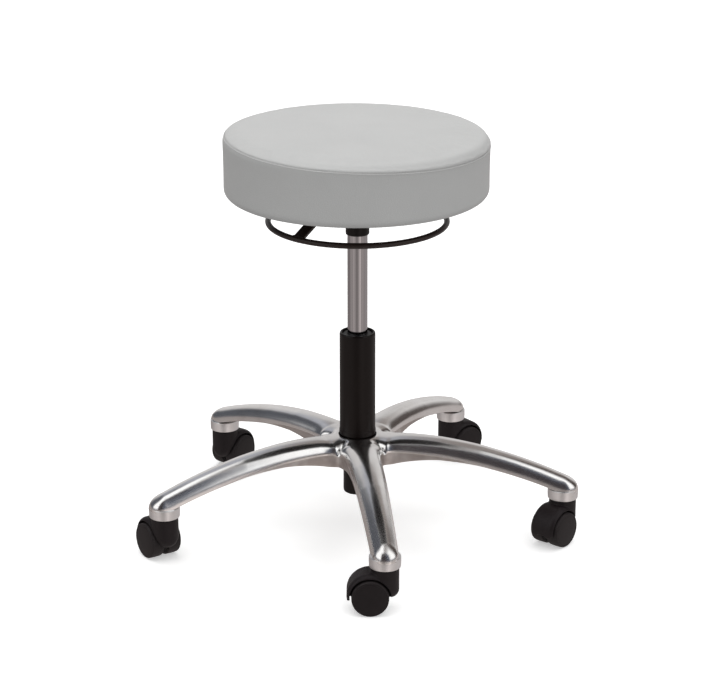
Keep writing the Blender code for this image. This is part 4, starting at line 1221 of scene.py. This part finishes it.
def pucker(angle, level):
    """Small gathers where the panels are drawn into the seam."""
    return 0.00028 * noise_round(angle, 22.0, level * 30.0) + 0.0006 * noise_round(angle, 5.0, 11.0)


def cushion_profile(angle):
    """(radius, level, seam, held) points from the crown to the middle of the underside. The seam number is
    painted shade: it grows towards the seam and is largest in its groove, where it darkens the vinyl.
    """
    seam = seam_way(angle)
    gather = pucker(angle, seam_level(angle))
    edge = crown_edge_level(angle)
    edge_radius = cover_radius(angle) - EDGE_ROUND
    points = []
    for share in CROWN_SHARES:
        level = edge + (CROWN_START - edge) * (1.0 - share**2.6)
        points.append((edge_radius * share, level, 0.0, 0.0))
    # The third number of each point below is painted shade for the vinyl: it rises towards the seam and peaks
    # in its groove.
    fold_start = seam + SEAM_FOLD[0][0]
    for step in range(EDGE_STEPS):
        near = (step / EDGE_STEPS) ** 3
        radius, level = cover_spot(angle, fold_start * step / EDGE_STEPS, -gather * near)
        points.append((radius, level, near * 0.4, near * 0.6))
    for past, depth in SEAM_FOLD:
        radius, level = cover_spot(angle, seam + past, depth - (gather if depth <= 0.0 else 0.0))
        points.append((radius, level, 0.4 + max(depth, 0.0) * 1200.0, 1.0))
    foot = SEAT_BOTTOM + FOOT_ROUND
    band_start = seam + SEAM_FOLD[-1][0]
    side_top = edge - EDGE_ROUND
    band_end = EDGE_TURN + side_top - foot
    for step in range(1, BAND_STEPS + 1):
        share = (step / BAND_STEPS) ** 1.35
        near = max(1.0 - share * 3.5, 0.0)
        radius, level = cover_spot(angle, band_start + (band_end - band_start) * share, -gather * near)
        down = max(side_top - level, 0.0) / (side_top - foot)
        radius += pucker(angle + 2.0, foot) * max(share * 3.0 - 2.0, 0.0) * 0.7
        radius -= SIDE_DRAW * math.sin(math.pi * down) + SIDE_TAPER * down
        points.append((radius, level, near * 0.3, 0.75))
    foot_radius = points[-1][0]
    for step in range(1, FOOT_STEPS + 1):
        slant = math.radians(90.0 * step / FOOT_STEPS)
        radius = foot_radius - FOOT_ROUND * (1.0 - math.cos(slant))
        points.append((radius, foot - FOOT_ROUND * math.sin(slant), 0.0, 1.0))
    inner = foot_radius - FOOT_ROUND
    for step in range(1, MARGIN_STEPS + 1):
        share = step / MARGIN_STEPS
        pleat = 0.00030 * share * noise_round(angle, 16.0, 2.0)
        points.append((inner + (MARGIN_RADIUS - inner) * share, SEAT_BOTTOM + 0.0002 + abs(pleat), 0.0, 1.0))
    points.append((MARGIN_RADIUS - 0.0002, MARGIN_LEVEL, 0.0, 1.0))
    points.append((MARGIN_RADIUS * 0.5, MARGIN_LEVEL, 0.0, 1.0))
    return points


def cushion_cage():
    body = bmesh.new()
    # The seam attribute stores painted shade that darkens the vinyl in and near the seam's groove.
    seam_shade_of = body.verts.layers.float.new("seam")
    held_of = body.verts.layers.float.new("held")
    columns = []
    for angle in angles_round(SEAT_STEPS):
        column = []
        for radius, level, seam, held in cushion_profile(angle):
            made = body.verts.new(on_circle(radius, angle, level))
            made[seam_shade_of] = min(seam, 1.0)
            made[held_of] = held
            column.append(made)
        columns.append(column)
    top = body.verts.new((0.0, 0.0, CROWN_START))
    under = body.verts.new((0.0, 0.0, MARGIN_LEVEL))
    under[held_of] = 1.0
    for column, after in zip(columns, columns[1:] + columns[:1]):
        body.faces.new((top, column[0], after[0]))
        skin(body, column, after)
        body.faces.new((under, column[-1], after[-1]))
    return mesh_of(body, "cushion_cage")


def swell(mesh):
    """Blows the cover up over its filling with a short cloth run, held at the seam and under the seat."""
    made = scratch_object(mesh.copy())
    held = made.vertex_groups.new(name="held")
    for index, item in enumerate(mesh.attributes["held"].data):
        held.add([index], item.value, "REPLACE")
    cloth = made.modifiers.new("cover", "CLOTH")
    for label, value in COVER_CLOTH.items():
        setattr(cloth.settings, label, value)
    cloth.settings.effector_weights.gravity = 0.0
    cloth.point_cache.frame_start = 1
    cloth.point_cache.frame_end = SWELL_FRAMES
    scene = bpy.context.scene
    for step in range(1, SWELL_FRAMES + 1):
        scene.frame_set(step)
    graph = bpy.context.evaluated_depsgraph_get()
    blown = made.evaluated_get(graph).to_mesh()
    shifts = [after.co - before.co for before, after in zip(mesh.vertices, blown.vertices)]
    made.evaluated_get(graph).to_mesh_clear()
    bpy.data.objects.remove(made)
    scene.frame_set(1)
    for vertex, shift in zip(mesh.vertices, shifts):
        if shift.length > SWELL_CAP:
            shift = shift.normalized() * SWELL_CAP
        vertex.co += shift


def stitches_rule(sizes):
    """Stitches laid along the seam of the seat."""
    tree, given = shape_rule("seam_stitches", sizes)
    path = wire(tree, "GeometryNodeObjectInfo", {"Object": given["Seam"]})
    curve = wire(tree, "GeometryNodeMeshToCurve", {"Mesh": path.outputs["Geometry"]})
    spaced = wire(tree, "GeometryNodeResampleCurve", {"Curve": curve, "Count": given["Stitches"]})
    tangent = tree.nodes.new("GeometryNodeInputTangent")
    facing = wire(tree, "FunctionNodeAlignRotationToVector", {"Vector": tangent}, axis="X")
    stitch = wire(tree, "GeometryNodeObjectInfo", {"Object": given["Stitch"]})
    inputs = {"Points": spaced, "Instance": stitch.outputs["Geometry"], "Rotation": facing}
    copies = wire(tree, "GeometryNodeInstanceOnPoints", inputs)
    close_rule(tree, copies, given["Finish"])
    return tree


def make_stitches():
    body = bmesh.new()
    past, depth = SEAM_FOLD[2]
    corners = []
    for angle in angles_round(SEAT_STEPS):
        radius, level = cover_spot(angle, seam_way(angle) + past, depth - 0.0001)
        corners.append(body.verts.new(on_circle(radius, angle, level)))
    for corner, after in zip(corners, corners[1:] + corners[:1]):
        body.edges.new((corner, after))
    path = scratch_object(plain_mesh(body, "seam_path"))
    outline = [(0.0, -0.0013), (0.00022, -0.0011), (0.00030, 0.0), (0.00022, 0.0011), (0.0, 0.0013)]
    stitch = scratch_object(turned(outline, "stitch", 6, Matrix.Rotation(math.radians(90.0), 4, "Y")))
    sizes = {"Seam": path, "Stitch": stitch, "Stitches": STITCHES, "Finish": THREAD}
    mesh = grow(stitches_rule(sizes), sizes)
    bpy.data.objects.remove(path)
    bpy.data.objects.remove(stitch)
    piece("seam_stitches", mesh, THREAD, "seat")


def make_cushion():
    cage = cushion_cage()
    swell(cage)
    mesh = smooth(subdivided(cage, 1), None)
    nodes = ["seat_top_cover", "seat_side_band", "seat_foam"]
    cushion = piece("seat_cushion", mesh, VINYL, "seat", nodes)
    make_stitches()


# Casters


def hood_rule(sizes):
    """A caster hood from the distances to its forms: crown and neck blended, wheel pockets cut out."""
    tree, given = shape_rule("caster_hood_form", sizes)
    split = wire(tree, "ShaderNodeSeparateXYZ", {0: tree.nodes.new("GeometryNodeInputPosition")})
    x, y, z = (Field(tree, out) for out in split.outputs)
    aside = y.size()
    behind = (x - given["Trail"]).squared()
    round_axle = (behind + (z - given["Axle level"]).squared()).root()
    round_crown = (behind + (z - given["Crown level"]).squared()).root()
    crown = (round_crown - given["Crown radius"]).cut_by(aside - given["Half width"], 0.0085)
    notch = aside.ease(0.0045, 0.0090).rest() * given["Rear notch"]
    rear_edge = given["Rear edge"] + aside.squared() * 15.0 + notch
    crown = crown.cut_by(rear_edge - z, 0.0010)
    front_edge = (given["Trail"] - x) * 0.5 - (z - given["Axle level"]) * 0.866
    crown = crown.cut_by(front_edge, 0.0020)
    from_stem = (x.squared() + y.squared()).root()
    chin = given["Chin"] + y.squared() * 17.0
    neck = (from_stem - given["Neck radius"]).cut_by(chin - z, 0.0115)
    hood = crown.least(neck, 0.0026).cut_by(z - given["Top"], 0.0010)
    pocket = (round_axle - given["Pocket radius"]).most(given["Web"] - aside, 0.0015)
    hood = hood.cut_by(-pocket, 0.0009)
    bounds = {"Density": -hood, "Background": -1.0, "Min": HOOD_BOX[0], "Max": HOOD_BOX[1]}
    steps = {f"Resolution {axis}": given[f"Steps {axis.lower()}"] for axis in "XYZ"}
    volume = wire(tree, "GeometryNodeVolumeCube", bounds | steps)
    mesh = wire(tree, "GeometryNodeVolumeToMesh", {"Volume": volume, "Threshold": 0.0})
    close_rule(tree, mesh, given["Finish"])
    return tree


def hood_form():
    sizes = {
        "Trail": CASTER_TRAIL,
        "Axle level": AXLE_LEVEL,
        "Crown level": AXLE_LEVEL + 0.0016,
        "Crown radius": 0.0311,
        "Half width": 0.0202,
        "Rear edge": 0.0175,
        "Rear notch": 0.0038,
        "Neck radius": 0.0188,
        "Top": HOOD_TOP,
        "Chin": 0.0205,
        "Pocket radius": WHEEL_RADIUS + 0.0023,
        "Web": 0.0035,
        "Steps x": 118,
        "Steps y": 76,
        "Steps z": 86,
        "Finish": HOOD_PLASTIC,
    }
    return joined([grow(hood_rule(sizes), sizes)], "hood_form")


def wheel_form():
    """One moulded wheel about Z, its outer face up, starting at the inner face."""
    face = WHEEL_WIDTH
    outline = rounded(
        [
            (WHEEL_BORE, 0.0),
            (0.0090, 0.0),
            (0.0100, 0.0020, 0.0008),
            (0.0205, 0.0020, 0.0008),
            (0.0218, 0.0),
            (WHEEL_RADIUS - 0.0002, 0.0, 0.0016),
            (WHEEL_RADIUS, face * 0.5),
            (WHEEL_RADIUS - 0.0003, face - 0.0003, 0.0032),
            (0.0219, face, 0.0005),
            (0.0215, face - 0.0005, 0.0003),
            (0.0210, face - 0.0001, 0.0005),
            (0.0140, face + 0.0004),
            (0.0070, face + 0.0006),
            (0.0, face + 0.0006),
            (0.0, face - 0.0045),
            (WHEEL_BORE, face - 0.0045),
        ]
    )
    body = bmesh.new()
    body.from_mesh(turned(outline, "wheel_form", 112))
    tread_of = body.verts.layers.float.new("tread")
    for vertex in body.verts:
        vertex[tread_of] = held_in((vertex.co.xy.length - TREAD_START) / TREAD_FADE)
    return mesh_of(body, "wheel_form")


def make_casters():
    hood = hood_form()
    wheel = wheel_form()
    for number, stem in zip(CASTERS, STEMS):
        axle = axis_point(f"wheel_{number}_left_spin")
        way = (axle - stem).xy
        turn = math.atan2(way.y, way.x)
        place = Matrix.Translation((stem.x, stem.y, 0.0)) @ Matrix.Rotation(turn, 4, "Z")
        shell = smooth(moved(hood, place), None)
        name = f"caster_hood_shell_{number}"
        piece(name, shell, HOOD_PLASTIC, f"caster_{number}", [f"caster_hood_{number}"])
        for side in ("left", "right"):
            node = f"wheel_{number}_{side}"
            low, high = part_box(node)
            outwards = ((low + high) / 2.0 - axle).normalized()
            lay = outwards.to_track_quat("Z", "Y").to_matrix().to_4x4()
            spot = Matrix.Translation(axle + outwards * WHEEL_START)
            disc = smooth(moved(wheel, spot @ lay))
            body = f"wheel_{number}_{side[0]}"
            piece(f"wheel_disc_{number}_{side}", disc, WHEEL_NYLON, body, [node])


# CAD pieces that stay, with their finishes


def dress_cad_nodes():
    wearers = {
        ZINC: ["lower_race", "upper_race", "retaining_clip", "lever_pin"],
        CHROME: ["piston_rod", "release_button"],
        GREY_NYLON: ["piston", "rod_guide", "valve_body"],
        RUBBER: ["rubber_bumper"],
        PLYWOOD: ["seat_board"],
    }
    wearers[ZINC] += [f"caster_{kind}_{number}" for kind in ("stem", "axle") for number in CASTERS]
    wearers[ZINC] += [f"tee_nut_{number}" for number in BOLTS]
    for finish, nodes in wearers.items():
        for node in nodes:
            mesh = frame["nodes"][node].data
            mesh.materials.clear()
            mesh.materials.append(finish)


# Studio


def make_floor():
    body = bmesh.new()
    bmesh.ops.create_circle(body, cap_ends=True, radius=FLOOR_RADIUS, segments=96)
    floor = scratch_object(mesh_of(body, "studio_floor"))
    floor.data.materials.append(floor_finish())
    floor.visible_glossy = False
    floor.visible_diffuse = False


def softbox(name, place, aim, size, power):
    lamp = bpy.data.lights.new(name, "AREA")
    lamp.shape = "RECTANGLE"
    lamp.size, lamp.size_y = size
    lamp.energy = power
    made = bpy.data.objects.new(name, lamp)
    bpy.context.scene.collection.objects.link(made)
    made.location = place
    made.rotation_euler = (Vector(aim) - Vector(place)).to_track_quat("-Z", "Y").to_euler()
    made.visible_glossy = False


def reflected_room(tree):
    """What shiny pieces see: a white ceiling, a lit backdrop between dim walls, lit screens either side of
    the dark space by the viewer, and a dull floor."""
    way = tree.nodes.new("ShaderNodeTexCoord").outputs["Generated"]
    split = wire(tree, "ShaderNodeSeparateXYZ", {0: way})
    x, y, z = (Field(tree, out) for out in split.outputs)
    azimuth = x.math("ARCTAN2", -y)

    def mix(share, first, second):
        """Colour that goes from the first to the second as the share goes from 0 to 1."""
        ends = [(*end, 1.0) if isinstance(end, tuple) else end for end in (first, second)]
        inputs = {"Factor": share, 6: ends[0], 7: ends[1]}
        return wire(tree, "ShaderNodeMix", inputs, data_type="RGBA").outputs[2]

    viewer = azimuth.ease(-0.62, -0.50) * azimuth.ease(0.52, 0.61).rest()
    unlit = mix(azimuth.ease(0.05, 0.40), (0.050, 0.043, 0.046), (0.085, 0.095, 0.125))
    screens = mix(z.ease(0.04, 0.24), (0.10, 0.105, 0.13), (1.20, 1.20, 1.20))
    front = mix(viewer, screens, unlit)
    far = azimuth.size().ease(2.34, 2.62)
    left_wall = mix(z.ease(0.34, 0.60) * far, (0.085, 0.090, 0.105), (0.40, 0.41, 0.45))
    right_wall = mix(z.ease(0.28, 0.55) * far, (0.085, 0.070, 0.065), (0.30, 0.27, 0.255))
    back = mix(x.ease(-0.15, 0.15), left_wall, right_wall)
    walls = mix(y.ease(-0.15, 0.25), front, back)
    overhead = z * 0.94 - y.size() * 0.08 - x.most(0.0) * 0.22
    panels = (x - 0.085).size().ease(0.100, 0.140)
    ceiling = mix(panels, (0.32, 0.305, 0.30), (1.25, 1.25, 1.25))
    upper = mix(overhead.ease(0.80, 0.90), walls, ceiling)
    behind = mix(x.ease(-0.2, 0.2), (0.34, 0.305, 0.295), (0.50, 0.46, 0.45))
    floor = mix(y.ease(-0.15, 0.25), (0.52, 0.47, 0.45), behind)
    room = mix(z.ease(-0.06, 0.03), floor, upper)
    backdrop = azimuth.size().ease(2.30, 2.66) * z.ease(-0.18, -0.06) * z.ease(0.44, 0.62).rest()
    room = mix(backdrop, room, (0.66, 0.645, 0.64))
    ring = wire(tree, "ShaderNodeCombineXYZ", {"X": azimuth, "Y": z * 0.25})
    inputs = {"Vector": ring, "Scale": 3.2, "Detail": 4.0, "Roughness": 0.6}
    streak = (Field(tree, wire(tree, "ShaderNodeTexNoise", inputs).outputs["Fac"]) - 0.5) * 0.9 + 1.0
    stand = (azimuth + 0.08).size().ease(0.06, 0.24) * 0.45 + 0.55
    right_lamp = (azimuth - 0.55).size().ease(0.05, 0.26).rest() * 0.7
    left_lamp = (azimuth + 0.70).size().ease(0.05, 0.24).rest() * 0.3
    below = z.ease(-0.10, 0.05).rest()
    return room, ((stand + right_lamp + left_lamp - 1.0) * below + 1.0) * streak


def make_world():
    world = bpy.data.worlds.new("studio_room")
    bpy.context.scene.world = world
    world.use_nodes = True
    tree = world.node_tree
    plain = tree.nodes["Background"]
    plain.inputs["Color"].default_value = (1.0, 1.0, 1.0, 1.0)
    plain.inputs["Strength"].default_value = ROOM_LIGHT
    colour, strength = reflected_room(tree)
    shiny = wire(tree, "ShaderNodeBackground", {"Color": colour, "Strength": strength})
    path = tree.nodes.new("ShaderNodeLightPath")
    mixed = wire(tree, "ShaderNodeMixShader", {0: path.outputs["Is Glossy Ray"], 1: plain, 2: shiny})
    tree.links.new(mixed.outputs[0], tree.nodes["World Output"].inputs["Surface"])


def make_studio():
    make_floor()
    make_world()
    softbox("ceiling_softbox", (-0.2, 0.4, 4.2), (-0.2, 0.4, 0.0), (6.5, 6.5), 165.0)
    softbox("front_softbox", (1.4, -2.8, 1.5), (0.0, 0.0, 0.3), (1.4, 1.6), 11.0)
    lens = bpy.data.cameras.new("photo_camera")
    lens.sensor_width = 36.0
    lens.lens = CAMERA_LENS
    camera = bpy.data.objects.new("photo_camera", lens)
    bpy.context.scene.collection.objects.link(camera)
    camera.location = CAMERA_PLACE
    camera.rotation_euler = (CAMERA_TILT, 0.0, 0.0)
    bpy.context.scene.camera = camera
    bpy.context.scene.view_settings.view_transform = "Standard"


make_studio()
make_base_casting()
make_collars()
make_gas_lift()
make_seat_plate()
make_release()
make_cushion()
make_casters()
dress_cad_nodes()

bpy.context.view_layer.update()
